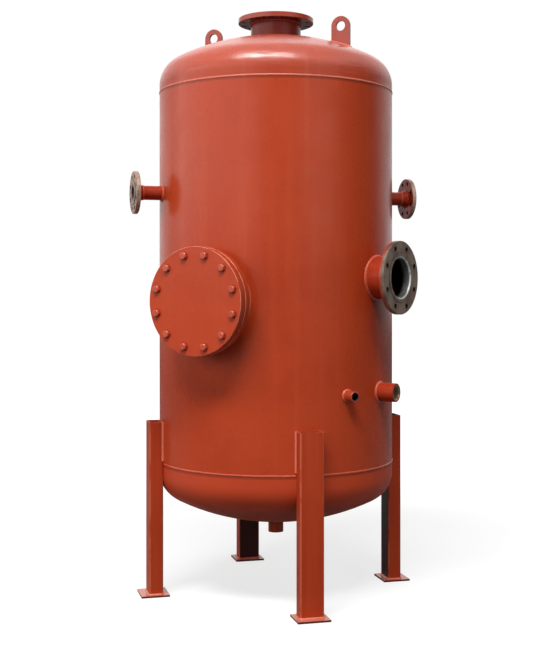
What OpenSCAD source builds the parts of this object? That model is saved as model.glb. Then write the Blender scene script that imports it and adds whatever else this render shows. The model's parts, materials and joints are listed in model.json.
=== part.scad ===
// Vertical welded blowdown tank on four legs.
// Millimetres, +Z up. The origin is on the tank axis at floor level.
// Azimuths are counted from the front (-Y) towards the right (+X).

/* [Vessel] */
// outside diameter of the shell and its ends
shell_od = 1016; // [900:2:1200]
// plate thickness of the shell and its ends
shell_wall = 8; // [6:0.5:12]
// shell length between the two round seams
shell_len = 1593; // [1400:1:1900]
// height of the lower seam above the floor
seam_height = 560; // [520:5:700]
// crown radius of the dished ends
crown_r = 982; // [900:2:1150]
// knuckle radius of the dished ends
knuckle_r = 118; // [90:2:160]
// straight flange of the upper dished end
top_flange = 35; // [20:1:60]
// straight flange of the lower dished end
bottom_flange = 51; // [20:1:60]
// width of the round seam bead
bead_w = 12; // [8:0.5:16]
// height of the bead over the plate
bead_h = 2.5; // [1.5:0.25:4]

/* [Vent] */
// outside diameter of the vent neck
vent_od = 219; // [180:1:260]
// wall of the vent neck
vent_wall = 8; // [5:0.5:12]
// diameter of the vent flange
vent_flange_od = 329; // [290:1:400]
// thickness of the vent flange
vent_flange_t = 22; // [18:1:30]
// height of the vent face above the crown
vent_rise = 86; // [65:1:120]
// distance of the vent bolts from the flange rim
vent_edge = 21; // [16:0.5:24]
// bolt count of the vent flange
vent_bolts = 12; // [4:4:12]
// bolt hole diameter of the vent flange
vent_hole = 22; // [16:1:24]

/* [Lifting lugs] */
// azimuth of the right lug, the left one is opposite
lug_az = 95; // [80:1:100]
// distance of the lugs inside the shell's outside
lug_inset = 200; // [160:5:240]
// width of a lug, also its round top
lug_w = 84; // [70:1:110]
// thickness of a lug
lug_t = 12; // [10:1:20]
// height of the eye above the crown
lug_eye_rise = 29; // [5:1:60]
// diameter of the eye
lug_eye = 42; // [30:1:50]
// leg length of the fillet weld round the foot of a lug
lug_bank = 9; // [8.5:0.5:12]

/* [Manway] */
// height of the manway centre above the floor
manway_z = 1254; // [1150:2:1350]
// outside diameter of the manway neck
manway_od = 324; // [290:2:340]
// wall of the manway neck
manway_wall = 10; // [6:0.5:14]
// diameter of the flange and the cover
manway_flange_od = 433; // [410:1:520]
// thickness of the flange
manway_flange_t = 32; // [22:1:38]
// thickness of the gasket
manway_gasket_t = 4; // [2:0.5:6]
// thickness of the cover
manway_cover_t = 32; // [22:1:38]
// reach of the cover face beyond the shell
manway_reach = 128; // [110:1:180]
// distance of the manway bolts from the flange rim
manway_edge = 31.5; // [20:0.5:34]
// bolt count of the manway
manway_bolts = 12; // [8:4:16]
// bolt hole diameter of the manway
manway_hole = 22; // [18:1:24]

/* [Outlet] */
// azimuth of the outlet
outlet_az = 86.5; // [80:0.5:92]
// height of the outlet above the floor
outlet_z = 1349; // [1250:1:1450]
// outside diameter of the outlet neck
outlet_od = 178; // [150:1:184]
// wall of the outlet neck
outlet_wall = 7.5; // [5:0.5:10]
// diameter of the outlet flange
outlet_flange_od = 303; // [285:1:370]
// thickness of the outlet flange
outlet_flange_t = 22; // [18:1:28]
// reach of the outlet face beyond the shell
outlet_reach = 112; // [80:1:160]
// distance of the outlet bolts from the flange rim
outlet_edge = 25.5; // [16:0.5:28]
// bolt count of the outlet
outlet_bolts = 8; // [4:4:12]
// bolt hole diameter of the outlet
outlet_hole = 22; // [16:1:24]
// diameter of the raised joint face
outlet_rf_od = 206; // [186:1:212]
// height of the raised joint face
outlet_rf = 2; // [1:0.5:3]

/* [Side nozzles] */
// height of the side nozzles above the floor
side_z = 1711; // [1600:1:1850]
// outside diameter of the side pipes
side_od = 60.3; // [48:0.1:70]
// wall of the side pipes
side_wall = 4; // [3:0.5:6]
// diameter of the side flanges
side_flange_od = 181; // [165:1:220]
// thickness of the side flanges
side_flange_t = 18; // [14:1:22]
// reach of the side faces beyond the shell
side_reach = 126; // [80:1:160]
// distance of the side bolts from the flange rim
side_edge = 20; // [14:0.5:22]
// bolt count of the side flanges
side_bolts = 8; // [4:4:8]
// bolt hole diameter of the side flanges
side_hole = 18; // [12:1:20]
// largest diameter of the flange hub
side_hub_od = 84; // [76:1:96]
// length of the flange hub
side_hub_l = 22; // [14:1:30]
// diameter of the raised joint face
side_rf_od = 104; // [90:1:112]
// height of the raised joint face
side_rf = 2; // [1:0.5:3]

/* [Small connections] */
// azimuth of the gauge stub
stub_az = 65; // [58:0.5:72]
// height of the gauge stub above the floor
stub_z = 871; // [820:1:950]
// outside diameter of the gauge stub
stub_od = 43; // [34:0.5:48]
// bore of the gauge stub
stub_bore = 33; // [26:0.5:36]
// reach of the gauge stub beyond the shell
stub_reach = 50; // [35:1:80]
// azimuth of the drain socket
socket_az = 89; // [84:0.5:94]
// height of the drain socket above the floor
socket_z = 874; // [820:1:950]
// outside diameter of the drain socket
socket_od = 78; // [70:0.5:84]
// bore of the drain socket
socket_bore = 62; // [54:0.5:66]
// reach of the drain socket beyond the shell
socket_reach = 76; // [50:1:110]
// outside diameter of the bottom drain
drain_od = 66; // [60:0.5:76]
// bore of the bottom drain
drain_bore = 54; // [44:0.5:57]
// drop of the drain below the lower end
drain_drop = 58; // [40:1:80]

/* [Legs] */
// width of a leg along the shell
leg_w = 100; // [80:1:120]
// depth of a leg away from the shell
leg_d = 60; // [50:1:80]
// wall of a leg
leg_wall = 5; // [4:0.5:8]
// outside corner radius of a leg
leg_corner = 8; // [6:0.5:12]
// height of the leg tops above the lower seam
leg_lap = 178; // [120:1:250]
// foot plate length, radial
foot_l = 120; // [110:1:180]
// foot plate width, along the shell
foot_w = 135; // [122:1:170]
// foot plate thickness
foot_t = 8; // [6:0.5:16]
// outward shift of the foot plate under its leg
foot_shift = 5; // [0:1:15]

/* [Welds and edges] */
// leg length of the fillet welds round the necks
weld_leg = 8; // [5:0.5:12]
// leg length of the fillet welds at the feet and the leg sides
trim_weld = 6; // [4:0.5:8]
// bevel on the rims of the flanges and the cover
rim_bevel = 1.5; // [0.5:0.25:3]
// bevel on the open ends of the small connections
end_bevel = 1.5; // [0.5:0.25:2]

/* [Hidden] */
$fn = 96;
eps = 0.5;
r_o = shell_od / 2;
r_i = r_o - shell_wall;
z_low = seam_height;
z_high = seam_height + shell_len;
knuckle_x = r_o - knuckle_r;
crown_drop = sqrt((crown_r - knuckle_r) * (crown_r - knuckle_r) - knuckle_x * knuckle_x);
dome = crown_r - crown_drop;
knuckle_ang = atan2(crown_drop, knuckle_x);
far = 4 * crown_r;
z_crown = z_high + top_flange + dome;
z_bottom = z_low - bottom_flange - dome;
vent_face = z_crown + vent_rise;
vent_bore = vent_od - 2 * vent_wall;
vent_pcd = vent_flange_od - 2 * vent_edge;
vent_under = vent_face - vent_flange_t;
vent_foot = z_crown - crown_r + sqrt(crown_r * crown_r - vent_od * vent_od / 4);
vent_inset = vent_wall;
manway_bore = manway_od - 2 * manway_wall;
manway_face = r_o + manway_reach;
manway_pcd = manway_flange_od - 2 * manway_edge;
manway_cover_in = manway_face - manway_cover_t;
manway_flange_out = manway_cover_in - manway_gasket_t;
gasket_gap = 1.5;
manway_gasket_od = manway_pcd - manway_hole - 2 * gasket_gap;
outlet_face = r_o + outlet_reach;
outlet_pcd = outlet_flange_od - 2 * outlet_edge;
outlet_bore = outlet_od - 2 * outlet_wall;
outlet_back = outlet_face - outlet_rf - outlet_flange_t;
outlet_inset = outlet_wall;
side_face = r_o + side_reach;
side_pcd = side_flange_od - 2 * side_edge;
side_bore = side_od - 2 * side_wall;
side_back = side_face - side_rf - side_flange_t;
stub_face = r_o + stub_reach;
socket_face = r_o + socket_reach;
lug_r = r_o - lug_inset;
left_az = -42.5;
right_az = left_az + 180;
lug_eye_z = z_crown + lug_eye_rise;
lug_lean = asin(lug_r / crown_r);
lug_foot = z_crown - crown_r + crown_r * cos(lug_lean);
leg_top = z_low + leg_lap;
leg_in = sqrt(r_o * r_o - leg_w * leg_w / 4);
leg_mid = leg_in + leg_d / 2;
leg_az = [45, 135, 225, 315];
bead_half = bead_w / 2;
bead_r = (bead_half * bead_half + bead_h * bead_h) / (2 * bead_h);
stave_az = [-22.5, 22.5, 58, 112.5, 157.5, 202.5, 247.5, 292.5, 337.5];
weld_land = 0.5;
leg_weld_x = leg_w / 2 + trim_weld;
leg_weld_y = sqrt(r_o * r_o - leg_weld_x * leg_weld_x);

red = [0.62, 0.22, 0.15];
steel = [0.55, 0.52, 0.48];
seal = [0.16, 0.15, 0.14];

// places a child that points along +Z so that it points outwards at an azimuth
module at(az, z) {
  rotate([0, 0, az]) translate([0, 0, z]) rotate([90, 0, 0]) children();
}

// region under a dished end, in the half plane of the section
module dish_2d(flange, inset) {
  union() {
    translate([0, -inset]) square([r_o - inset, flange + inset]);
    translate([knuckle_x, flange]) intersection() {
      circle(knuckle_r - inset, $fn = 192);
      polygon([[0, 0], [far, 0], [far, far * tan(knuckle_ang)]]);
    }
    intersection() {
      translate([0, flange - crown_drop]) circle(crown_r - inset, $fn = 720);
      polygon([[0, 0], [knuckle_x, 0], [knuckle_x, flange],
        [knuckle_x + far * cos(knuckle_ang), flange + far * sin(knuckle_ang)],
        [0, flange + far * sin(knuckle_ang)]]);
    }
  }
}

// solid under the upper crown, inside the knuckle
module crown_body() {
  rotate_extrude($fn = 360) intersection() {
    translate([0, z_crown - crown_r]) circle(crown_r, $fn = 720);
    translate([0, z_high]) square([knuckle_x, dome + top_flange]);
  }
}

// wall of a dished end with a round hole on the axis
module dish(flange, hole) {
  rotate_extrude() difference() {
    dish_2d(flange, 0);
    dish_2d(flange, shell_wall);
    translate([0, -far]) square([hole / 2, 2 * far]);
  }
}

// holes in the shell wall under every connection
module shell_holes() {
  at(0, manway_z) cylinder(d = manway_bore, h = manway_face);
  at(outlet_az, outlet_z) cylinder(d = outlet_bore, h = outlet_face);
  at(left_az, side_z) cylinder(d = side_bore, h = side_face);
  at(right_az, side_z) cylinder(d = side_bore, h = side_face);
  at(stub_az, stub_z) cylinder(d = stub_bore, h = stub_face);
  at(socket_az, socket_z) cylinder(d = socket_bore, h = socket_face);
}

// one stave of the round wall
module stave(i) {
  color(red) difference() {
    rotate([0, 0, stave_az[i] - 90]) rotate_extrude(angle = stave_az[i + 1] - stave_az[i])
      translate([r_i, z_low]) square([shell_wall, shell_len]);
    shell_holes();
  }
}

// round seam bead on the outside of the wall
module seam_bead(z) {
  rotate_extrude() translate([0, z]) intersection() {
    translate([r_o + bead_h - bead_r, 0]) circle(bead_r);
    translate([r_o, -bead_half]) square([bead_w, bead_w]);
  }
}

// pipe that stands on the outside of the round wall
module set_on_pipe(az, z, od, bore, face) {
  difference() {
    at(az, z) translate([0, 0, r_i]) difference() {
      cylinder(d = od, h = face - r_i);
      translate([0, 0, -eps]) cylinder(d = bore, h = face - r_i + 2 * eps);
    }
    translate([0, 0, z - od]) cylinder(r = r_o, h = 2 * od, $fn = 256);
  }
}

// the same pipe with a bevelled open end
module open_pipe(az, z, od, bore, face) {
  difference() {
    set_on_pipe(az, z, od, bore, face);
    at(az, z) translate([0, 0, face - end_bevel]) rotate_extrude()
      polygon([[od / 2, 0], [od / 2 + end_bevel, 0], [od / 2 + end_bevel, 2 * end_bevel],
        [od / 2 - 2 * end_bevel, 2 * end_bevel]]);
  }
}

// disc with bevelled rims
module plate(d, h) {
  rotate_extrude() polygon([[0, 0], [d / 2 - rim_bevel, 0], [d / 2, rim_bevel],
    [d / 2, h - rim_bevel], [d / 2 - rim_bevel, h], [0, h]]);
}

// ring of bolt holes about the local axis
module bolt_holes(n, pcd, d, h) {
  for (i = [0:n - 1]) rotate([0, 0, (i + 0.5) * 360 / n])
    translate([pcd / 2, 0, -eps]) cylinder(d = d, h = h + 2 * eps, $fn = 32);
}

module top_head() {
  color(red) translate([0, 0, z_high]) dish(top_flange, vent_bore);
}

module bottom_head() {
  color(red) translate([0, 0, z_low]) mirror([0, 0, 1]) dish(bottom_flange, drain_bore);
}

module top_seam_weld() {
  color(red) seam_bead(z_high);
}

module bottom_seam_weld() {
  color(red) difference() {
    seam_bead(z_low);
    for (a = leg_az) rotate([0, 0, a])
      translate([-leg_w / 2, -r_o - leg_d, z_low - bead_w]) cube([leg_w, leg_d + bead_w, 2 * bead_w]);
  }
}

// fillet weld round a neck where it stands on the round wall
module saddle_weld(az, z, od) {
  difference() {
    intersection() {
      at(az, z) translate([0, 0, r_i])
        cylinder(d1 = od + 2 * (shell_wall + weld_leg), d2 = od + 2 * weld_land, h = shell_wall + weld_leg);
      translate([0, 0, z - od]) cylinder(r = r_o + weld_leg, h = 2 * od, $fn = 256);
    }
    translate([0, 0, z - 2 * od]) cylinder(r = r_o, h = 4 * od, $fn = 256);
    at(az, z) cylinder(d = od, h = 2 * r_o);
  }
}

// weld round the manway neck, square in section
module manway_weld() {
  difference() {
    intersection() {
      at(0, manway_z) cylinder(d = manway_od + 2 * weld_leg, h = 2 * r_o);
      translate([0, 0, manway_z - manway_od]) cylinder(r = r_o + weld_leg, h = 2 * manway_od, $fn = 256);
    }
    translate([0, 0, manway_z - 2 * manway_od]) cylinder(r = r_o, h = 4 * manway_od, $fn = 256);
    at(0, manway_z) cylinder(d = manway_od, h = 2 * r_o);
  }
}

// fillet weld round a neck behind its flange
module back_weld(az, z, od, back) {
  at(az, z) translate([0, 0, back - weld_leg]) rotate_extrude()
    polygon([[od / 2, 0], [od / 2 + weld_leg, weld_leg], [od / 2, weld_leg]]);
}

// fillet weld round the bottom drain where it meets the lower end
module drain_weld() {
  rotate_extrude() difference() {
    polygon([[drain_od / 2, z_bottom - weld_leg], [drain_od / 2 + 2 * weld_leg, z_bottom + weld_leg],
      [drain_od / 2, z_bottom + weld_leg]]);
    translate([0, z_bottom + crown_r]) circle(crown_r, $fn = 720);
  }
}

module vent_welds() {
  color(red) rotate_extrude() union() {
    difference() {
      polygon([[vent_od / 2, vent_foot - weld_leg], [vent_od / 2 + 2 * weld_leg, vent_foot - weld_leg],
        [vent_od / 2, vent_foot + weld_leg]]);
      translate([0, z_crown - crown_r]) circle(crown_r, $fn = 720);
    }
    polygon([[vent_od / 2, vent_under], [vent_od / 2 + weld_leg, vent_under],
      [vent_od / 2, vent_under - weld_leg]]);
  }
}

module nozzle_welds() {
  color(red) union() {
    manway_weld();
    saddle_weld(outlet_az, outlet_z, outlet_od);
    saddle_weld(left_az, side_z, side_od);
    saddle_weld(right_az, side_z, side_od);
    saddle_weld(stub_az, stub_z, stub_od);
    saddle_weld(socket_az, socket_z, socket_od);
    back_weld(0, manway_z, manway_od, manway_flange_out - manway_flange_t);
    back_weld(outlet_az, outlet_z, outlet_od, outlet_back);
    drain_weld();
  }
}

// section of a weld bank with sloping sides round a blade of width w
module bank_2d(w) {
  polygon([[-w / 2 - lug_bank, -lug_bank], [w / 2 + lug_bank, -lug_bank], [w / 2 + lug_bank, 0],
    [w / 2 + weld_land, lug_bank], [-w / 2 - weld_land, lug_bank], [-w / 2 - lug_bank, 0]]);
}

// fillet weld round the foot of a lug, square to the crown
module lug_weld(az) {
  foot = lug_w / cos(lug_lean);
  difference() {
    rotate([0, 0, az]) translate([0, -lug_r, lug_foot]) rotate([lug_lean, 0, 0]) intersection() {
      rotate([90, 0, 0]) linear_extrude(foot + 4 * lug_bank, center = true) bank_2d(lug_t);
      rotate([90, 0, 90]) linear_extrude(lug_t + 4 * lug_bank, center = true) bank_2d(foot);
    }
    crown_body();
    rotate([0, 0, az]) translate([-lug_t / 2, -lug_r - lug_w / 2, z_high]) cube([lug_t, lug_w, far]);
  }
}

module lug_welds() {
  color(red) union() {
    lug_weld(lug_az);
    lug_weld(lug_az + 180);
  }
}

// upright fillet weld along one edge of a leg, from its top to just above the seam bead
module leg_weld(i, s) {
  color(red) rotate([0, 0, leg_az[i]]) translate([0, 0, z_low + bead_w])
    linear_extrude(leg_lap - bead_w) difference() {
      polygon([[s * (leg_w / 2 - leg_corner), -r_i], [s * leg_weld_x, -leg_weld_y],
        [s * leg_w / 2, -leg_in - leg_corner - weld_land],
        [s * (leg_w / 2 - leg_corner), -leg_in - leg_corner]]);
      circle(r_o, $fn = 256);
      translate([0, -leg_mid]) leg_2d(0);
    }
}

module leg_welds() {
  for (i = [0:3], s = [-1, 1]) leg_weld(i, s);
}

// triangle of a fillet weld that starts at x = r
module fillet_2d(r) {
  polygon([[r, 0], [r + trim_weld, 0], [r, trim_weld]]);
}

// straight run of fillet weld along x, at y = r
module fillet_run(l, r) {
  translate([-l / 2, 0, 0]) rotate([90, 0, 90]) linear_extrude(l) fillet_2d(r);
}

// fillet weld round a leg where it stands on its foot plate
module foot_weld(i) {
  w = leg_w - 2 * leg_corner;
  d = leg_d - 2 * leg_corner;
  color(red) rotate([0, 0, leg_az[i]]) translate([0, -leg_mid, foot_t]) union() {
    for (a = [0, 180]) rotate([0, 0, a]) {
      fillet_run(w, leg_d / 2);
      translate([w / 2, d / 2, 0]) rotate_extrude(angle = 90) fillet_2d(leg_corner);
      rotate([0, 0, 90]) {
        fillet_run(d, leg_w / 2);
        translate([d / 2, w / 2, 0]) rotate_extrude(angle = 90) fillet_2d(leg_corner);
      }
    }
  }
}

module foot_welds() {
  for (i = [0:3]) foot_weld(i);
}

module vent_neck() {
  color(red) rotate_extrude() difference() {
    translate([vent_bore / 2, z_high]) square([vent_wall, vent_face - vent_inset - z_high]);
    translate([0, z_crown - crown_r]) circle(crown_r, $fn = 720);
  }
}

module vent_flange() {
  color(red) translate([0, 0, vent_face - vent_flange_t]) difference() {
    plate(vent_flange_od, vent_flange_t);
    translate([0, 0, -eps]) cylinder(d = vent_od, h = vent_flange_t + 2 * eps);
    bolt_holes(vent_bolts, vent_pcd, vent_hole, vent_flange_t);
  }
}

// lifting lug in a radial plane, its foot cut to the crown
module lug(az) {
  color(red) difference() {
    rotate([0, 0, az]) translate([lug_t / 2, -lug_r, lug_eye_z]) rotate([90, 0, -90])
      linear_extrude(lug_t) difference() {
        union() {
          circle(d = lug_w);
          translate([-lug_w / 2, -dome]) square([lug_w, dome]);
        }
        circle(d = lug_eye);
      }
    crown_body();
  }
}

module lug_right() {
  lug(lug_az);
}

module lug_left() {
  lug(lug_az + 180);
}

module manway_neck() {
  color(red) set_on_pipe(0, manway_z, manway_od, manway_bore, manway_flange_out);
}

module manway_flange() {
  color(red) at(0, manway_z) translate([0, 0, manway_flange_out - manway_flange_t]) difference() {
    plate(manway_flange_od, manway_flange_t);
    translate([0, 0, -eps]) cylinder(d = manway_od, h = manway_flange_t + 2 * eps);
    bolt_holes(manway_bolts, manway_pcd, manway_hole, manway_flange_t);
  }
}

module manway_gasket() {
  color(seal) at(0, manway_z) translate([0, 0, manway_flange_out]) difference() {
    cylinder(d = manway_gasket_od, h = manway_gasket_t);
    translate([0, 0, -eps]) cylinder(d = manway_bore, h = manway_gasket_t + 2 * eps);
  }
}

module manway_cover() {
  color(red) at(0, manway_z) translate([0, 0, manway_cover_in]) difference() {
    plate(manway_flange_od, manway_cover_t);
    bolt_holes(manway_bolts, manway_pcd, manway_hole, manway_cover_t);
  }
}

module outlet_neck() {
  color(red) set_on_pipe(outlet_az, outlet_z, outlet_od, outlet_bore, outlet_face - outlet_inset);
}

module outlet_flange() {
  color(steel) at(outlet_az, outlet_z) translate([0, 0, outlet_back]) difference() {
    union() {
      plate(outlet_flange_od, outlet_flange_t);
      cylinder(d = outlet_rf_od, h = outlet_flange_t + outlet_rf);
    }
    translate([0, 0, -eps]) cylinder(d = outlet_od, h = outlet_flange_t + outlet_rf + 2 * eps);
    bolt_holes(outlet_bolts, outlet_pcd, outlet_hole, outlet_flange_t);
  }
}

// flange with a tapered hub towards the tank
module side_flange(az) {
  color(steel) at(az, side_z) difference() {
    union() {
      translate([0, 0, side_back]) plate(side_flange_od, side_flange_t);
      translate([0, 0, side_back]) cylinder(d = side_rf_od, h = side_flange_t + side_rf);
      translate([0, 0, side_back - side_hub_l])
        cylinder(d1 = side_od, d2 = side_hub_od, h = side_hub_l);
    }
    translate([0, 0, side_back - side_hub_l - eps])
      cylinder(d = side_bore, h = side_hub_l + side_flange_t + side_rf + 2 * eps);
    translate([0, 0, side_back]) bolt_holes(side_bolts, side_pcd, side_hole, side_flange_t);
  }
}

module left_pipe() {
  color(red) set_on_pipe(left_az, side_z, side_od, side_bore, side_back - side_hub_l);
}

module left_flange() {
  side_flange(left_az);
}

module right_pipe() {
  color(red) set_on_pipe(right_az, side_z, side_od, side_bore, side_back - side_hub_l);
}

module right_flange() {
  side_flange(right_az);
}

module gauge_stub() {
  color(red) open_pipe(stub_az, stub_z, stub_od, stub_bore, stub_face);
}

module drain_socket() {
  color(red) open_pipe(socket_az, socket_z, socket_od, socket_bore, socket_face);
}

module bottom_drain() {
  color(red) rotate_extrude() difference() {
    translate([drain_bore / 2, z_bottom - drain_drop])
      square([(drain_od - drain_bore) / 2, drain_drop + knuckle_r]);
    translate([0, z_bottom + crown_r]) circle(crown_r, $fn = 720);
  }
}

// hollow leg, open at the top, its back cut to the round wall
module leg(i) {
  color(red) difference() {
    rotate([0, 0, leg_az[i]]) translate([0, -leg_mid, foot_t]) linear_extrude(leg_top - foot_t)
      difference() {
        leg_2d(0);
        leg_2d(leg_wall);
      }
    rotate_extrude($fn = 256) union() {
      translate([0, z_low]) mirror([0, 1]) dish_2d(bottom_flange, 0);
      translate([0, z_low]) square([r_o, shell_len]);
    }
  }
}

// outline of the leg section with rounded corners
module leg_2d(inset) {
  w = leg_w - 2 * inset;
  d = leg_d - 2 * inset;
  c = leg_corner - inset;
  union() {
    square([w - 2 * c, d], center = true);
    square([w, d - 2 * c], center = true);
    for (x = [-1, 1], y = [-1, 1]) translate([x * (w / 2 - c), y * (d / 2 - c)]) circle(c);
  }
}

module foot(i) {
  color(red) rotate([0, 0, leg_az[i]])
    translate([-foot_w / 2, -leg_mid - foot_shift - foot_l / 2, 0]) cube([foot_w, foot_l, foot_t]);
}

stave(0);  // shell_front
stave(1);  // shell_front_right
stave(2);  // shell_right
stave(3);  // shell_back_right
stave(4);  // shell_back
stave(5);  // shell_back_left
stave(6);  // shell_left
stave(7);  // shell_front_left
top_head();
bottom_head();
top_seam_weld();
bottom_seam_weld();
vent_welds();
nozzle_welds();
lug_welds();
leg_welds();
foot_welds();
vent_neck();
vent_flange();
lug_right();
lug_left();
manway_neck();
manway_flange();
manway_gasket();
manway_cover();
outlet_neck();
outlet_flange();
left_pipe();
left_flange();
right_pipe();
right_flange();
gauge_stub();
drain_socket();
bottom_drain();
leg(0);  // leg_front_right
leg(1);  // leg_back_right
leg(2);  // leg_back_left
leg(3);  // leg_front_left
foot(0);  // foot_front_right
foot(1);  // foot_back_right
foot(2);  // foot_back_left
foot(3);  // foot_front_left
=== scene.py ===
"""Blowdown tank: paint, bare joint faces, weld beads, bolts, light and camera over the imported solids."""

from __future__ import annotations

import json
import logging
import math
import random
from collections.abc import Callable, Sequence
from dataclasses import dataclass, replace
from enum import Enum
from functools import partial

import bmesh
import bpy
from bmesh.types import BMesh, BMFace, BMVert
from bpy.types import Material, Node, NodeSocket, NodeTree, Object
from mathutils import Color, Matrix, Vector, noise

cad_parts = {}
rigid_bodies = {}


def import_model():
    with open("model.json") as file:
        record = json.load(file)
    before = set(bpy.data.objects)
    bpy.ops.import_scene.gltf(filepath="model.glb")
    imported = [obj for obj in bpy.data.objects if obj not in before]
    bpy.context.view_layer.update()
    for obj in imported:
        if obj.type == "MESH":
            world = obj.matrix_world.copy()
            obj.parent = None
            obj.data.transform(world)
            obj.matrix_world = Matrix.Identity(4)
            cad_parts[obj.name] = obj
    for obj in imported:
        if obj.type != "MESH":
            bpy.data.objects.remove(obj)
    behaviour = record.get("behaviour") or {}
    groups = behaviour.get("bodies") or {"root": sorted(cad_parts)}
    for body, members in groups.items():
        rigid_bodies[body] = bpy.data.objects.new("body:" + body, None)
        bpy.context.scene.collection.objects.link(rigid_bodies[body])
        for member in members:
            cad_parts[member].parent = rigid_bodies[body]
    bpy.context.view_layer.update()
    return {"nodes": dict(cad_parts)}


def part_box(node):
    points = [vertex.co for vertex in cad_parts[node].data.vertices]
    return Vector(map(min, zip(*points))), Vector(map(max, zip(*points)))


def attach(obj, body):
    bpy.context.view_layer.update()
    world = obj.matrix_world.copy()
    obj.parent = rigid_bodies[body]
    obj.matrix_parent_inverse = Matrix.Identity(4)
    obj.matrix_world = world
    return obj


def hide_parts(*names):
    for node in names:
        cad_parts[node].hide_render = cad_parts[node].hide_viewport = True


# What a new scene holds is no part of the tank.
for start_object in list(bpy.data.objects):
    bpy.data.objects.remove(start_object)
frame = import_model()
LOG = logging.getLogger("blowdown_tank")

Point = tuple[float, float, float]
Rgb = tuple[int, int, int]
Number = NodeSocket | float
Value = NodeSocket | float | Sequence[float]

UP: Point = (0.0, 0.0, 1.0)
WHITE = (1.0, 1.0, 1.0, 1.0)
# Dark soiling of the bolt holes; also painted shade under the vent flange.
GRIME_AND_SHADE: Rgb = (46, 22, 16)
# Black soiling along a flange's step; also painted shade deep in the bores.
SOOT_AND_SHADE: Rgb = (6, 6, 6)
# Painted shade on the joint faces of the side flanges, round their bores.
RING_SHADE: Rgb = (52, 54, 53)
# Half the width of the line between two coats.
EDGE = 0.0005
# How far the bare steel of a bore reaches past it, so that no paint lies in the bore.
BARE_MARGIN = 0.0006
# A radius that takes in all of a piece, for pieces of bare steel.
ALL_BARE = 1.0


class Slot(Enum):
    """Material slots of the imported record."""

    PRIMER = "red_primer"
    STEEL = "bare_steel"


class Side(Enum):
    """The two sides of a leg, or the two ways along a line, as a sign."""

    NEAR = -1.0
    FAR = 1.0


def linear(colour: Rgb) -> tuple[float, ...]:
    """Turns a display colour, 0 to 255, into the linear colour and full alpha that a shader takes."""
    return (*Color([part / 255 for part in colour]).from_srgb_to_scene_linear(), 1.0)


def grey(level: float) -> tuple[float, ...]:
    """Linear grey with full alpha."""
    return (level, level, level, 1.0)


@dataclass(frozen=True)
class Axis:
    """Centre line of a round part, with the two directions square to it.

    Attributes:
        start: Point of the tank axis where the line begins.
        out: Direction of the line.
        side: Level direction square to it.
        rise: Direction square to both.
    """

    start: Point
    out: Point
    side: Point
    rise: Point

    @classmethod
    def level(cls, azimuth: float, height: float = 0.0) -> Axis:
        """Line that leaves the tank axis level with the floor.

        Args:
            azimuth: Degrees from the front towards the right.
            height: Metres above the floor.

        Returns:
            The line.
        """
        turn = math.radians(azimuth)
        sin, cos = math.sin(turn), math.cos(turn)
        return cls((0.0, 0.0, height), (sin, -cos, 0.0), (cos, sin, 0.0), UP)

    @classmethod
    def upright(cls) -> Axis:
        """The tank's own axis, upwards from the floor."""
        return cls((0.0, 0.0, 0.0), UP, (1.0, 0.0, 0.0), (0.0, 1.0, 0.0))

    def base(self) -> float:
        """Where the line lies along its rise direction."""
        return self.start[2] * self.rise[2]

    def point(self, side: float, rise: float, out: float) -> Vector:
        """Point at distances along the line's side, rise and out directions."""
        steps = zip((side, rise, out), (self.side, self.rise, self.out))
        return sum((length * Vector(way) for length, way in steps), Vector(self.start))

    def about(self, radius: float, turn: float, out: float, side: float = 0.0, rise: float = 0.0) -> Vector:
        """Point at a radius and a turn about the line, or about a parallel one at a side and rise."""
        return self.point(side + radius * math.cos(turn), rise + radius * math.sin(turn), out)


@dataclass(frozen=True)
class Cloud:
    """Cloudy noise and the marks that it makes.

    Attributes:
        scale: Clouds in a metre.
        detail: Octaves.
        low: Noise at which a mark begins.
        high: Noise at which a mark is full.
        share: Strength of a full mark.
        stretch: Scale along each axis.
    """

    scale: float
    detail: float
    low: float = 0.0
    high: float = 1.0
    share: float = 1.0
    stretch: Point = (1.0, 1.0, 1.0)


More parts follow.
